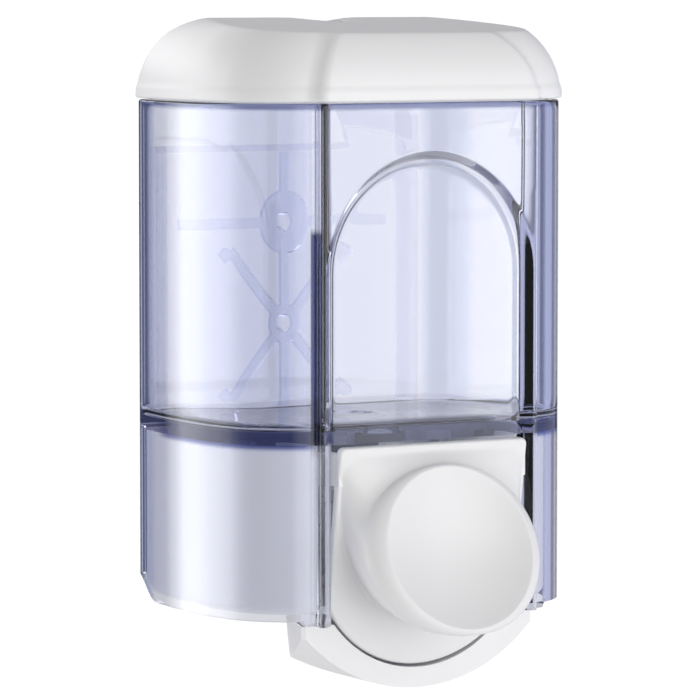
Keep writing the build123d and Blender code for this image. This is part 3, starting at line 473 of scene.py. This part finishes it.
def lid_cover(edge, radius, drop):
    """Rows of the top from the last row of its edge to a circle round the lock."""
    s = np.linspace(0, 1, 40)[1:, None, None]
    plan = edge[-1][:, :2] * (1 - s) + toward(edge[-1], LOCK, radius) * s
    return np.concatenate([plan, (lid_top(plan[..., 0], plan[..., 1]) - drop)[..., None]], -1)


def make_lid(material):
    """Lid as one profile carried round the plan: top, rounded edge, flange, collar, cavity and lock boss."""
    outer = lid_edge(LID_R, LID_RISE, -LID_PROUD, LID_LOW + LIP_R, 0.0, LID_SOFT, bead=BEAD)
    lower = []
    for v in np.linspace(0, QUARTER, 6)[:-1]:
        inset = LIP_R - LID_PROUD - LIP_R * math.sin(v)
        lower.append(on_plane(half_loop(inset, *LID_PLAN), LID_LOW + LIP_R - LIP_R * math.cos(v)))
    ledges = (
        (COLLAR_OUT, LID_LOW), (COLLAR_OUT, COLLAR_LOW + COLLAR_BEVEL), (COLLAR_OUT + COLLAR_BEVEL, COLLAR_LOW),
        (COLLAR_IN, COLLAR_LOW), (COLLAR_IN, LID_LOW + LID_WALL),
    )
    collar = [on_plane(half_loop(i, rear_half=LID_REAR_HALF), z) for i, z in ledges]
    inner = lid_edge(LID_R - LID_WALL, LID_RISE - LID_WALL, LID_WALL - LID_PROUD, LID_LOW + LID_WALL,
                     LID_WALL, CEILING_SOFT)
    ceiling = lid_cover(inner, LOCK_BOSS_R, LID_WALL)
    top = lid_cover(outer, SEAT_R, 0.0)
    seat = LOCK_TOP - SEAT_DEPTH
    steps = ((LOCK_BOSS_R, LOCK_BOSS_LOW), (BORE_R, LOCK_BOSS_LOW), (BORE_R, seat), (SEAT_R, seat))
    bore = [on_plane(toward(ceiling[-1], LOCK, r), z) for r, z in steps]
    shell = Shell()
    shell.sheet(np.concatenate([top[::-1], outer[::-1], lower[::-1], collar, inner, ceiling, bore, top[-1:]]))
    shell.mirrored()
    return shell.build("lid_shell", "cover", material, ["lid"], crease=40.0)


ROUND = np.linspace(-math.pi, math.pi, 361)


def polar(points, centre):
    """Distance from a centre to a closed outline along each angle of ROUND."""
    rel = np.asarray(points, float) - centre
    a = np.arctan2(rel[:, 1], rel[:, 0])
    order = np.argsort(a)
    return np.interp(ROUND, a[order], np.hypot(rel[:, 0], rel[:, 1])[order], period=2 * math.pi)


def side_by_side(right):
    """Closed outline from the runs of its right half."""
    right = np.concatenate(right)
    return np.concatenate([right, right[::-1] * np.array([-1.0, 1.0])])


def on_flange(r, out):
    """Ring on the flange's plane raised by out: middle + r (cos u, sin u)."""
    x, y = r * np.cos(ROUND), FLANGE_MIDDLE[1] + r * np.sin(ROUND)
    return FLANGE + x[:, None] * ACROSS + y[:, None] * FLANGE_UP + out * FLANGE_OUT


def on_dish(r, out):
    """Ring on the dish's plane raised by out, which may differ from point to point: r (cos u, sin u)."""
    x, y = r * np.cos(ROUND), r * np.sin(ROUND)
    rise = np.broadcast_to(out, len(ROUND))[:, None]
    return DISH + x[:, None] * ACROSS + y[:, None] * DISH_UP + rise * DISH_OUT


def plate_outline():
    """Outline of the flange: straight top and sides with small corners, and a round lower end."""
    half, low = PLATE_HALF, PLATE_R - PLATE_LONG
    turn = math.asin(half / PLATE_R)
    return polar(side_by_side([
        line((0, 0), (half - PLATE_CORNER, 0)),
        arc((half - PLATE_CORNER, -PLATE_CORNER), PLATE_CORNER, QUARTER, 0, 12),
        line((half, -PLATE_CORNER), (half, low - PLATE_R * math.cos(turn))),
        arc((0, low), PLATE_R, turn - QUARTER, -QUARTER, 90),
    ]), FLANGE_MIDDLE)


def foot_outline(inset, corner):
    """Outline of the boss's foot on the flange, drawn in by inset: a rounded top and a long bow below."""
    half, top = FOOT_HALF - inset, FOOT_TOP - inset
    a = np.linspace(0, -QUARTER, 120)
    return polar(side_by_side([
        line((0, top), (half - corner, top)),
        arc((half - corner, top - corner), corner, QUARTER, 0, 24),
        line((half, top - corner), (half, FOOT_BEND)),
        np.column_stack([half * np.cos(a), FOOT_BEND + (FOOT_BOW - inset) * np.sin(a)]),
    ]), FLANGE_MIDDLE)


def boss_rows(base, rim, back):
    """Boss as a cubic from the flange to the ring at the shoulder's back, with a soft corner at its foot."""
    near = on_flange(base, 0.0)
    radial = np.cos(ROUND)[:, None] * ACROSS + np.sin(ROUND)[:, None] * DISH_UP
    span = np.linalg.norm(back - near, axis=1)[:, None]
    leave = (back - near) * BOSS_LEAVE
    arrive = BOSS_ARRIVE * (back - near) + BOSS_TURN * span * (BOSS_OUT * DISH_OUT - BOSS_IN * radial)

    def boss(s):
        return ((2 * s**3 - 3 * s**2 + 1) * near + (s**3 - 2 * s**2 + s) * leave
                + (3 * s**2 - 2 * s**3) * back + (s**3 - s**2) * arrive)

    start = np.minimum(FOOT_SPREAD / span, FOOT_MOST)
    corner = np.linspace(0, 1, 7)[:, None, None]
    rows = list(curve(corner, on_flange(rim, 0.0), near, boss(start)))
    return rows + [boss(start + (1 - start) * s) for s in np.linspace(0, 1, 22)[1:]]


def make_button(material):
    """Button as rings of points round the dish: cavity, plate, flange, boss, shoulder and dish.

    Ring: place + r(u) (cos u, sin u) on a plane; the boss runs from the flange to the shoulder as a cubic.
    """
    plate, base = plate_outline(), foot_outline(0.0, FOOT_CORNER)
    rows = [on_dish(r, CAVITY_FLOOR) for r in (0.0, CAVITY_R)]
    rows.append(on_flange(foot_outline(CAVITY_INSET, CAVITY_CORNER), PLATE_BACK))
    rows += [on_flange(plate - PLATE_BEVEL, PLATE_BACK), on_flange(plate, PLATE_BACK + PLATE_BEVEL)]
    for v in np.linspace(0, QUARTER, 6):
        rows.append(on_flange(plate - PLATE_ROUND * (1 - math.cos(v)), PLATE_ROUND * (math.sin(v) - 1)))
    rim, flat = np.minimum(base + FOOT_SPREAD, plate - PLATE_EDGE), plate - PLATE_ROUND
    rows += [on_flange(flat + (rim - flat) * s, 0.0) for s in (0.25, 0.5, 0.75)]
    # boss, then the shoulder, which is full at the sides and small above and below
    flank = np.cos(ROUND) ** 2
    back = [value + more * flank for value, more in zip(SHOULDER_BACK, BACK_MORE)]
    crown = [value + more * flank for value, more in zip(SHOULDER_CROWN, CROWN_MORE)]
    rows += boss_rows(base, rim, on_dish(*back))
    for t in np.linspace(0, 1, 12)[1:]:
        rows.append(on_dish(*(curve(t, *values) for values in zip(back, crown, CREST[0]))))
    # crest and dish, a ball's cap
    for t in np.linspace(0, 1, 7)[1:]:
        rows.append(on_dish(*(curve(t, *values) for values in zip(*CREST))))
    ball = (DISH_R**2 + DISH_DEPTH**2) / (2 * DISH_DEPTH)
    for r in np.linspace(DISH_EDGE, 0, 26):
        rows.append(on_dish(r, ball - DISH_DEPTH - math.sqrt(ball**2 - r * r)))
    shell = Shell()
    shell.sheet(np.stack(rows))
    # nose that bears on the pump's stem, turned about a line along y
    v = np.linspace(0, QUARTER, 8)
    along = np.concatenate([[NOSE_START], NOSE_END + NOSE_R * np.sin(v)])
    shell.sheet(revolved(along, np.concatenate([[NOSE_R], NOSE_R * np.cos(v)]), (0.0, PUMP_Z))[..., [0, 2, 1]])
    # ears for the hinge pin
    ear = polar(np.concatenate([
        line((-EAR_LONG, -EAR_R), (0, -EAR_R)),
        line((-EAR_LONG, EAR_R), (-EAR_LONG, -EAR_R)),
        line((0, EAR_R), (-EAR_LONG, EAR_R)),
        arc((0, 0), EAR_R, -QUARTER, QUARTER, 60),
    ]), np.zeros(2))
    ring = [(ear, EAR_IN), (ear, EAR_OUT), (EAR_HOLE, EAR_OUT), (EAR_HOLE, EAR_IN), (ear, EAR_IN)]
    for hand in (-1, 1):
        shell.sheet(np.stack([
            np.insert(np.stack([PIN[0] + r * np.cos(ROUND), PIN[1] + r * np.sin(ROUND)], 1), 0, hand * x, axis=1)
            for r, x in ring
        ]))
    return shell.build("button_shell", "button", material, ["push_button"], crease=40.0)


def bar(shell, outline, start, end, place):
    """Straight bar of a closed outline: side faces and the two ends; place lays (p, q, t) out as x, y, z."""
    loop = np.asarray([*outline, outline[0]], float)
    ends = [np.column_stack(place(*loop.T, np.full(len(loop), t))) for t in (start, end)]
    shell.sheet(np.stack(ends))
    for ring in ends:
        shell.cap(ring[:-1])


def level(p, q, t):
    """Lays an outline in y and z out along x."""
    return t, p, q


def make_fittings(material):
    """What the tank carries besides its walls: outlet collar, screw bosses, lock hook and the rails behind."""
    shell = Shell()
    under = FLOOR_UNDER - GAP
    foot = under - OUTLET_LONG
    heights = [under, foot + OUTLET_BEVEL, foot, foot, under, under]
    radii = [OUTLET_OUT, OUTLET_OUT, OUTLET_OUT - OUTLET_BEVEL, OUTLET_IN, OUTLET_IN, OUTLET_OUT]
    shell.sheet(revolved(heights, radii, PORT))
    radii = [POST_R, POST_R, POST_R - POST_BEVEL, POST_HOLE, POST_HOLE, 0.0]
    for places, long in ((BASE_POSTS, BASE_POST_LONG), (PUMP_POSTS, PUMP_POST_LONG)):
        foot = under - long
        heights = [under, foot + POST_BEVEL, foot, foot, foot + POST_DEEP, foot + POST_DEEP]
        for centre in [(hand * x, y) for hand in (-1, 1) for x, y in places]:
            shell.sheet(revolved(heights, radii, centre))
            shell.sheet(revolved([under, under], [0.0, POST_R], centre))
    wall, near = TANK_BACK - WALL - GAP, TANK_BACK - WALL - HOOK_OFF
    stem, tip, step = near - HOOK_WALL, near - 2 * HOOK_WALL, HOOK_TOP - HOOK_WALL
    hook = [
        (wall, HOOK_FOOT), (stem, HOOK_FOOT), (stem, step), (tip, step), (tip, HOOK_TOP), (near, HOOK_TOP),
        (near, HOOK_FOOT + HOOK_WALL), (wall, HOOK_FOOT + HOOK_WALL),
    ]
    bar(shell, hook, -HOOK_HALF, HOOK_HALF, level)
    back, lip, web = TANK_BACK + GAP, TANK_BACK + RAIL_OFF, RAIL_OUT - RAIL_WALL
    rail = [
        (web, back), (RAIL_OUT, back), (RAIL_OUT, lip + RAIL_LIP), (RAIL_IN, lip + RAIL_LIP), (RAIL_IN, lip),
        (web, lip),
    ]
    for hand in (-1, 1):
        bar(shell, rail, RAIL_LOW, RAIL_TOP, lambda p, q, t, hand=hand: (hand * p, q, t))
    stop_low = RAIL_TOP - RAIL_WALL
    stop = [(back, stop_low), (lip, stop_low), (lip, RAIL_TOP), (back, RAIL_TOP)]
    bar(shell, stop, -STOP_HALF, STOP_HALF, level)
    return shell.build("tank_fittings", "housing", material, [], crease=40.0)


def make_spring(material):
    """Return spring: a wire of radius w along a helix of radius r about the pump's axis.

    p(t, u) = c(t) + w (cos u n(t) + sin u b(t)), with n away from the axis and b square to n and to the wire.
    """
    near, far = (corner[1] * 1000 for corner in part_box("return_spring"))
    t = np.linspace(0, 2 * math.pi * SPRING_TURNS, 48 * SPRING_TURNS + 1)[:, None]
    rise = (far - near - 2 * SPRING_WIRE) / t[-1, 0]
    out = np.hstack([np.cos(t), np.zeros_like(t), np.sin(t)])
    start = np.array([0.0, near + SPRING_WIRE, PUMP_Z])
    centre = SPRING_R * out + start + rise * t * np.array([0.0, 1.0, 0.0])
    way = np.hstack([-SPRING_R * np.sin(t), np.full_like(t, rise), SPRING_R * np.cos(t)])
    across = np.cross(way / math.hypot(SPRING_R, rise), out)
    u = np.linspace(0, 2 * math.pi, 13)[None, :, None]
    grid = centre[:, None] + SPRING_WIRE * (np.cos(u) * out[:, None] + np.sin(u) * across[:, None])
    shell = Shell()
    shell.sheet(grid)
    for end in (grid[0], grid[-1]):
        shell.cap(end[:-1])
    spring = shell.build("spring_wire", "housing", material, ["return_spring"], crease=50.0)
    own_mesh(spring)


def put(tree, socket, value):
    """Links another node's output to a socket, or sets the socket to a number or a colour."""
    if isinstance(value, bpy.types.NodeSocket):
        tree.links.new(value, socket)
    else:
        socket.default_value = (*value, 1) if isinstance(value, tuple) else value


def maths(tree, operation, *values):
    """Output of a math node."""
    node = tree.nodes.new("ShaderNodeMath")
    node.operation = operation
    for socket, value in zip(node.inputs, values):
        put(tree, socket, value)
    return node.outputs["Value"]


def ramp(tree, value, low, high, kind="SMOOTHSTEP"):
    """0 where a value is at low, 1 where it is at high."""
    node = tree.nodes.new("ShaderNodeMapRange")
    node.interpolation_type = kind
    for label, given in (("Value", value), ("From Min", low), ("From Max", high)):
        put(tree, node.inputs[label], given)
    return node.outputs["Result"]


def blend(tree, share, below, above):
    """Colour between below and above."""
    node = tree.nodes.new("ShaderNodeMix")
    node.data_type = "RGBA"
    for label, given in (("Factor", share), ("A", below), ("B", above)):
        put(tree, node.inputs[label], given)
    return node.outputs["Result"]


def axes(tree):
    """Outputs X, Y and Z of the place on the object, in metres."""
    place, parts = tree.nodes.new("ShaderNodeTexCoord"), tree.nodes.new("ShaderNodeSeparateXYZ")
    put(tree, parts.inputs["Vector"], place.outputs["Object"])
    return parts.outputs["X"], parts.outputs["Y"], parts.outputs["Z"]


def moulded_skin_group():
    """Moulded plastic: faint cloud in the colour, patchy gloss and a fine spark texture."""
    group = bpy.data.node_groups.new("moulded_skin", "ShaderNodeTree")
    for label, kind, value in (
        ("Color", "NodeSocketColor", (0.8, 0.8, 0.8, 1)), ("Shade", "NodeSocketColor", (0.7, 0.7, 0.7, 1)),
        ("Gloss", "NodeSocketFloat", 0.35), ("Spread", "NodeSocketFloat", 0.08),
        ("Grain", "NodeSocketFloat", 2200.0),
    ):
        group.interface.new_socket(label, in_out="INPUT", socket_type=kind).default_value = value
    for label, kind in (
        ("Color", "NodeSocketColor"), ("Roughness", "NodeSocketFloat"), ("Height", "NodeSocketFloat"),
    ):
        group.interface.new_socket(label, in_out="OUTPUT", socket_type=kind)
    add = group.nodes.new
    given, outlet = add("NodeGroupInput").outputs, add("NodeGroupOutput").inputs
    place = add("ShaderNodeTexCoord").outputs["Object"]

    def noise(scale, detail):
        node = add("ShaderNodeTexNoise")
        for label, value in (("Vector", place), ("Scale", scale), ("Detail", detail)):
            put(group, node.inputs[label], value)
        return node.outputs["Fac"]

    cloud = noise(38.0, 4.0)
    centred = maths(group, "SUBTRACT", cloud, 0.5)
    put(group, outlet["Color"], blend(group, cloud, given["Color"], given["Shade"]))
    put(group, outlet["Roughness"], maths(group, "MULTIPLY_ADD", centred, given["Spread"], given["Gloss"]))
    put(group, outlet["Height"], noise(given["Grain"], 2.0))
    return group


skin_group = moulded_skin_group()
BUMP_DEPTH = 0.0002


def finish(name, gloss, spread, grain, bump, colors=(), **sockets):
    """Material that takes colour, gloss and bump from the moulded skin group; colors are its two ends."""
    material = bpy.data.materials.new(name)
    material.use_nodes = True
    tree = material.node_tree
    shader = tree.nodes["Principled BSDF"]
    skin = tree.nodes.new("ShaderNodeGroup")
    skin.node_tree = skin_group
    for label, value in (("Gloss", gloss), ("Spread", spread), ("Grain", grain)):
        put(tree, skin.inputs[label], value)
    for label, value in zip(("Color", "Shade"), colors):
        put(tree, skin.inputs[label], value)
    lift = tree.nodes.new("ShaderNodeBump")
    lift.inputs["Strength"].default_value = bump
    lift.inputs["Distance"].default_value = BUMP_DEPTH
    put(tree, lift.inputs["Height"], skin.outputs["Height"])
    put(tree, shader.inputs["Base Color"], skin.outputs["Color"])
    put(tree, shader.inputs["Roughness"], skin.outputs["Roughness"])
    put(tree, shader.inputs["Normal"], lift.outputs["Normal"])
    for label, value in sockets.items():
        put(tree, shader.inputs[label.replace("_", " ")], value)
    return material


def clear_plastic(name, gloss, ior, depth_color, density):
    """Clear plastic: an absorption that grows with the way through it, and a tinted shade.

    The cast of its faces, a painted shade by place, is set in the two tint functions below.
    """
    material = finish(name, gloss, 0.02, 700, 0.004, IOR=ior, Transmission_Weight=1.0)
    tree = material.node_tree
    add = tree.nodes.new
    outlet = tree.nodes["Material Output"].inputs
    depth = add("ShaderNodeVolumeAbsorption")
    put(tree, depth.inputs["Color"], depth_color)
    put(tree, depth.inputs["Density"], density)
    put(tree, outlet["Volume"], depth.outputs["Volume"])
    # light for what lies behind it passes straight through
    path = add("ShaderNodeLightPath").outputs
    clear = add("ShaderNodeBsdfTransparent")
    put(tree, clear.inputs["Color"], (0.95, 0.955, 0.985))
    mix = add("ShaderNodeMixShader")
    put(tree, mix.inputs["Fac"], maths(tree, "MAXIMUM", path["Is Shadow Ray"], path["Is Diffuse Ray"]))
    put(tree, mix.inputs[1], tree.nodes["Principled BSDF"].outputs["BSDF"])
    put(tree, mix.inputs[2], clear.outputs["BSDF"])
    put(tree, outlet["Surface"], mix.outputs["Shader"])
    return material


def set_tint(tree, tint):
    """Gives both ends of the skin's colour one tint."""
    skin = next(node for node in tree.nodes if node.type == "GROUP")
    for label in ("Color", "Shade"):
        put(tree, skin.inputs[label], tint)


def painted_shade_tint(material, front, cheek, corner, rim, sill_shade, crease):
    """Painted shade by place: the cheeks and rear corners get a deeper tint than the front face as painted
    shade; the rim is darker; a painted dark band runs along the floor line at the sides; the upright creases get
    near-black painted shade.

    Each share is a product of steps over |x|, y and z in metres. The creases also lose their mirror reflection,
    which darkens them further as painted shade.
    """
    tree = material.node_tree
    x, y, z = axes(tree)
    width = maths(tree, "ABSOLUTE", x)

    def share(first, *others):
        product = ramp(tree, *first)
        for step in others:
            product = maths(tree, "MULTIPLY", product, ramp(tree, *step))
        return product

    # painted shade: share of the near-black tint in the upright creases
    crease_shade_share = share((width, 0.0304, 0.0309), (width, 0.0325, 0.0320), (y, -0.0685, -0.0695),
                 (z, -0.041, -0.035), (z, 0.0160, 0.0135))
    # painted shade: share of the dark band along the floor line at the sides
    edge = share((z, -0.0385, -0.0372), (z, -0.0328, -0.0340), (width, 0.0305, 0.0325), (y, -0.020, -0.030))
    tint = front
    # painted shade: deeper tints for the cheeks and rear corners, a darker rim, the band and the creases
    for place, deeper in (
        (share((width, 0.0302, 0.0325), (y, -0.030, -0.050), (z, -0.040, -0.036)), cheek),
        (share((width, 0.037, 0.041), (y, -0.021, -0.015)), corner),
        (share((z, 0.0428, 0.0440)), rim),
        (edge, sill_shade),
        (crease_shade_share, crease),
    ):
        tint = blend(tree, place, tint, deeper)
    set_tint(tree, tint)
    # the creases' mirror reflection is cut to darken them as painted shade
    mirror = maths(tree, "MULTIPLY_ADD", crease_shade_share, -0.5, 0.5)
    put(tree, tree.nodes["Principled BSDF"].inputs["Specular IOR Level"], mirror)


def painted_rib_shade_tint(material, plate, ribs):
    """Painted shade by y: a deeper tint in the ribs that stand behind the bracket's plate, painted to show them
    as dark lines.
    """
    tree = material.node_tree
    _, y, _ = axes(tree)
    set_tint(tree, blend(tree, ramp(tree, y, -0.0018, -0.0012, kind="LINEAR"), plate, ribs))


white_shell = finish(
    "satin_white_shell", 0.36, 0.1, 2600, 0.05, ((0.866, 0.865, 0.862), (0.826, 0.825, 0.823)), IOR=1.5)
white_button = finish(
    "satin_white_button", 0.33, 0.1, 2600, 0.05, ((0.861, 0.86, 0.857), (0.821, 0.82, 0.819)), IOR=1.5)
pump_white = finish("pump_natural", 0.42, 0.12, 1800, 0.1, ((0.76, 0.78, 0.8), (0.7, 0.72, 0.75)))
seal_rubber = finish("seal_rubber", 0.62, 0.15, 1500, 0.25, ((0.035, 0.035, 0.038), (0.05, 0.05, 0.052)))
bright_steel = finish(
    "bright_steel", 0.24, 0.12, 3000, 0.06, ((0.62, 0.63, 0.65), (0.55, 0.56, 0.58)), Metallic=1.0)
lock_chrome = finish(
    "lock_chrome", 0.14, 0.08, 2600, 0.03, ((0.72, 0.72, 0.74), (0.66, 0.66, 0.69)), Metallic=1.0)
clear_tank = clear_plastic("clear_lavender", 0.015, 1.5, (0.6, 0.62, 0.76), 46.0)
# painted shade on the tank: deeper tints in cheeks and rear corners, darker rim, dark band and near-black
# creases
painted_shade_tint(
    clear_tank, front=(0.935, 0.943, 0.988), cheek=(0.79, 0.815, 0.94), corner=(0.7, 0.74, 0.88),
    rim=(0.34, 0.38, 0.6), sill_shade=(0.13, 0.165, 0.42), crease=(0.003, 0.005, 0.035))
clear_bracket = clear_plastic("clear_bracket", 0.06, 1.065, (0.6, 0.62, 0.8), 40.0)
# painted shade: the bracket's ribs get a deeper tint so that they show as dark lines
painted_rib_shade_tint(clear_bracket, plate=(0.96, 0.965, 0.985), ribs=(0.74, 0.78, 0.92))
clear_fittings = finish(
    "clear_fittings", 0.12, 0.04, 900, 0.02, ((0.72, 0.75, 0.88), (0.68, 0.71, 0.85)), Alpha=0.2)

for material, dressed in (
    (white_shell, ("base_housing",)),
    (clear_bracket, ("wall_bracket",)),
    (lock_chrome, ("lock_barrel",)),
    (bright_steel, ("lock_cam", "lock_screw", "pivot_pin", "inlet_ball", "base_screws", "pump_screws")),
    (pump_white, ("pump_barrel", "barrel_cap", "piston", "inlet_cage", "spout_nozzle")),
    (seal_rubber, ("piston_seal", "tank_grommet", "outlet_valve")),
):
    for node in dressed:
        nodes[node].data.materials.clear()
        nodes[node].data.materials.append(material)

make_tank(clear_tank)
make_fittings(clear_fittings)
make_spring(bright_steel)
make_lid(white_shell)
make_button(white_button)


# light of the studio round the object, by degrees from the viewer's side, positive to the right
TO_RIGHT, TO_VIEWER, UP = (0.8585, -0.5127, 0.0), (-0.5127, -0.8585, 0.0), (0.0, 0.0, 1.0)
FULL_LIGHT, SEEN_WHITE = 5.0, (0.21, 0.21, 0.21)
BACKDROP, FRONT_FILL, DOME = (0.8, 0.8, 0.8), (0.3, 0.3, 0.31), (0.09, 0.09, 0.091)
CARD, RIGHT_CARD = (0.12, 0.125, 0.2), (0.58, 0.6, 0.78)
LEVEL_LIGHT = [
    (-180, BACKDROP), (-168, BACKDROP), (-162, CARD), (-131, CARD), (-127, (1.2, 1.2, 1.22)),
    (-123, (2.8, 2.8, 2.83)), (-114, (3.1, 3.1, 3.13)), (-98, (2.9, 2.9, 2.93)), (-87, (2.3, 2.3, 2.33)),
    (-74, (1.3, 1.3, 1.32)), (-62, (0.6, 0.6, 0.62)), (-50, FRONT_FILL), (4, FRONT_FILL),
    (18, (1.5, 1.5, 1.51)), (34, (2.5, 2.5, 2.52)), (66, (2.4, 2.4, 2.42)), (88, (0.7, 0.7, 0.72)),
    (104, RIGHT_CARD), (145, RIGHT_CARD), (151, CARD), (159, CARD), (167, BACKDROP), (180, BACKDROP),
]
UPPER_LIGHT = [
    (-180, CARD), (-150, (2.7, 2.7, 2.72)), (-124, (3.5, 3.5, 3.53)), (-106, (2.7, 2.7, 2.72)),
    (-90, (1.4, 1.4, 1.41)), (-72, (0.5, 0.5, 0.51)), (-50, FRONT_FILL), (4, (0.4, 0.4, 0.41)),
    (20, (1.5, 1.5, 1.51)), (34, (2.5, 2.5, 2.52)), (66, (2.4, 2.4, 2.42)), (92, CARD), (180, CARD),
]


def studio_world():
    """Studio seen from the object: soft boxes and dark cards round it, dimmer higher up, white to the camera.

    Turn is the angle round the object from the viewer's side, positive to the right, as a share of a full turn.
    """
    world = bpy.data.worlds.new("studio")
    bpy.context.scene.world = world
    world.use_nodes = True
    tree = world.node_tree
    add = tree.nodes.new
    place = add("ShaderNodeTexCoord").outputs["Generated"]

    def along(way):
        part = add("ShaderNodeVectorMath")
        part.operation = "DOT_PRODUCT"
        part.inputs[1].default_value = way
        put(tree, part.inputs[0], place)
        return part.outputs["Value"]

    angle = maths(tree, "ARCTAN2", along(TO_RIGHT), along(TO_VIEWER))
    turn = maths(tree, "MULTIPLY_ADD", angle, 0.5 / math.pi, 0.5)

    def ring(stops):
        node = add("ShaderNodeValToRGB")
        elements = node.color_ramp.elements
        node.color_ramp.interpolation = "EASE"
        elements[0].position, elements[1].position = 0.0, 1.0
        for degrees, _ in stops[1:-1]:
            elements.new((degrees + 180.0) / 360.0)
        for stop, (_, light) in zip(elements, stops):
            stop.color = (*(part / FULL_LIGHT for part in light), 1)
        put(tree, node.inputs["Fac"], turn)
        return node.outputs["Color"]

    height = along(UP)
    sides = blend(tree, ramp(tree, height, 0.12, 0.3), ring(LEVEL_LIGHT), ring(UPPER_LIGHT))
    dome = blend(tree, ramp(tree, height, 0.36, 0.62), sides, DOME)
    sight = add("ShaderNodeLightPath").outputs["Is Camera Ray"]
    glow = tree.nodes["Background"].inputs
    put(tree, glow["Color"], blend(tree, sight, dome, SEEN_WHITE))
    put(tree, glow["Strength"], FULL_LIGHT)


STAGE_Z, STAGE_SIDES = -0.35, 96


def floor_sheet():
    """Round pale floor well below the part, which hangs on its wall."""
    mesh = bpy.data.meshes.new("floor")
    edge = on_plane(arc((0.0, 0.0), 1.0, 0, 2 * math.pi, STAGE_SIDES + 1)[:-1], STAGE_Z)
    mesh.from_pydata(edge.tolist(), [], [list(range(STAGE_SIDES))])
    mesh.materials.append(finish(
        "pale_floor", 0.6, 0.1, 60, 0.02, ((0.86, 0.86, 0.87), (0.84, 0.84, 0.85)),
        Emission_Color=(1, 1, 1), Emission_Strength=0.2))
    floor = bpy.data.objects.new("floor", mesh)
    bpy.context.scene.collection.objects.link(floor)


studio_world()
floor_sheet()
bpy.context.scene.view_settings.view_transform = "Standard"

# camera fitted to the photograph: the columns are its right, its up, the way back from the view, and its place
CAMERA_LENS, CAMERA_SENSOR = 231.77, 36.0
CAMERA_FRAME = (
    (0.85854, 0.0412, -0.51109, -0.57488),
    (-0.51275, 0.0690, -0.85577, -0.99778),
    (0.0, 0.9968, 0.08037, 0.07279),
    (0.0, 0.0, 0.0, 1.0),
)
camera_data = bpy.data.cameras.new("camera")
camera_data.lens = CAMERA_LENS
camera_data.sensor_width = CAMERA_SENSOR
camera = bpy.data.objects.new("camera", camera_data)
bpy.context.scene.collection.objects.link(camera)
camera.matrix_world = Matrix(CAMERA_FRAME)
bpy.context.scene.camera = camera
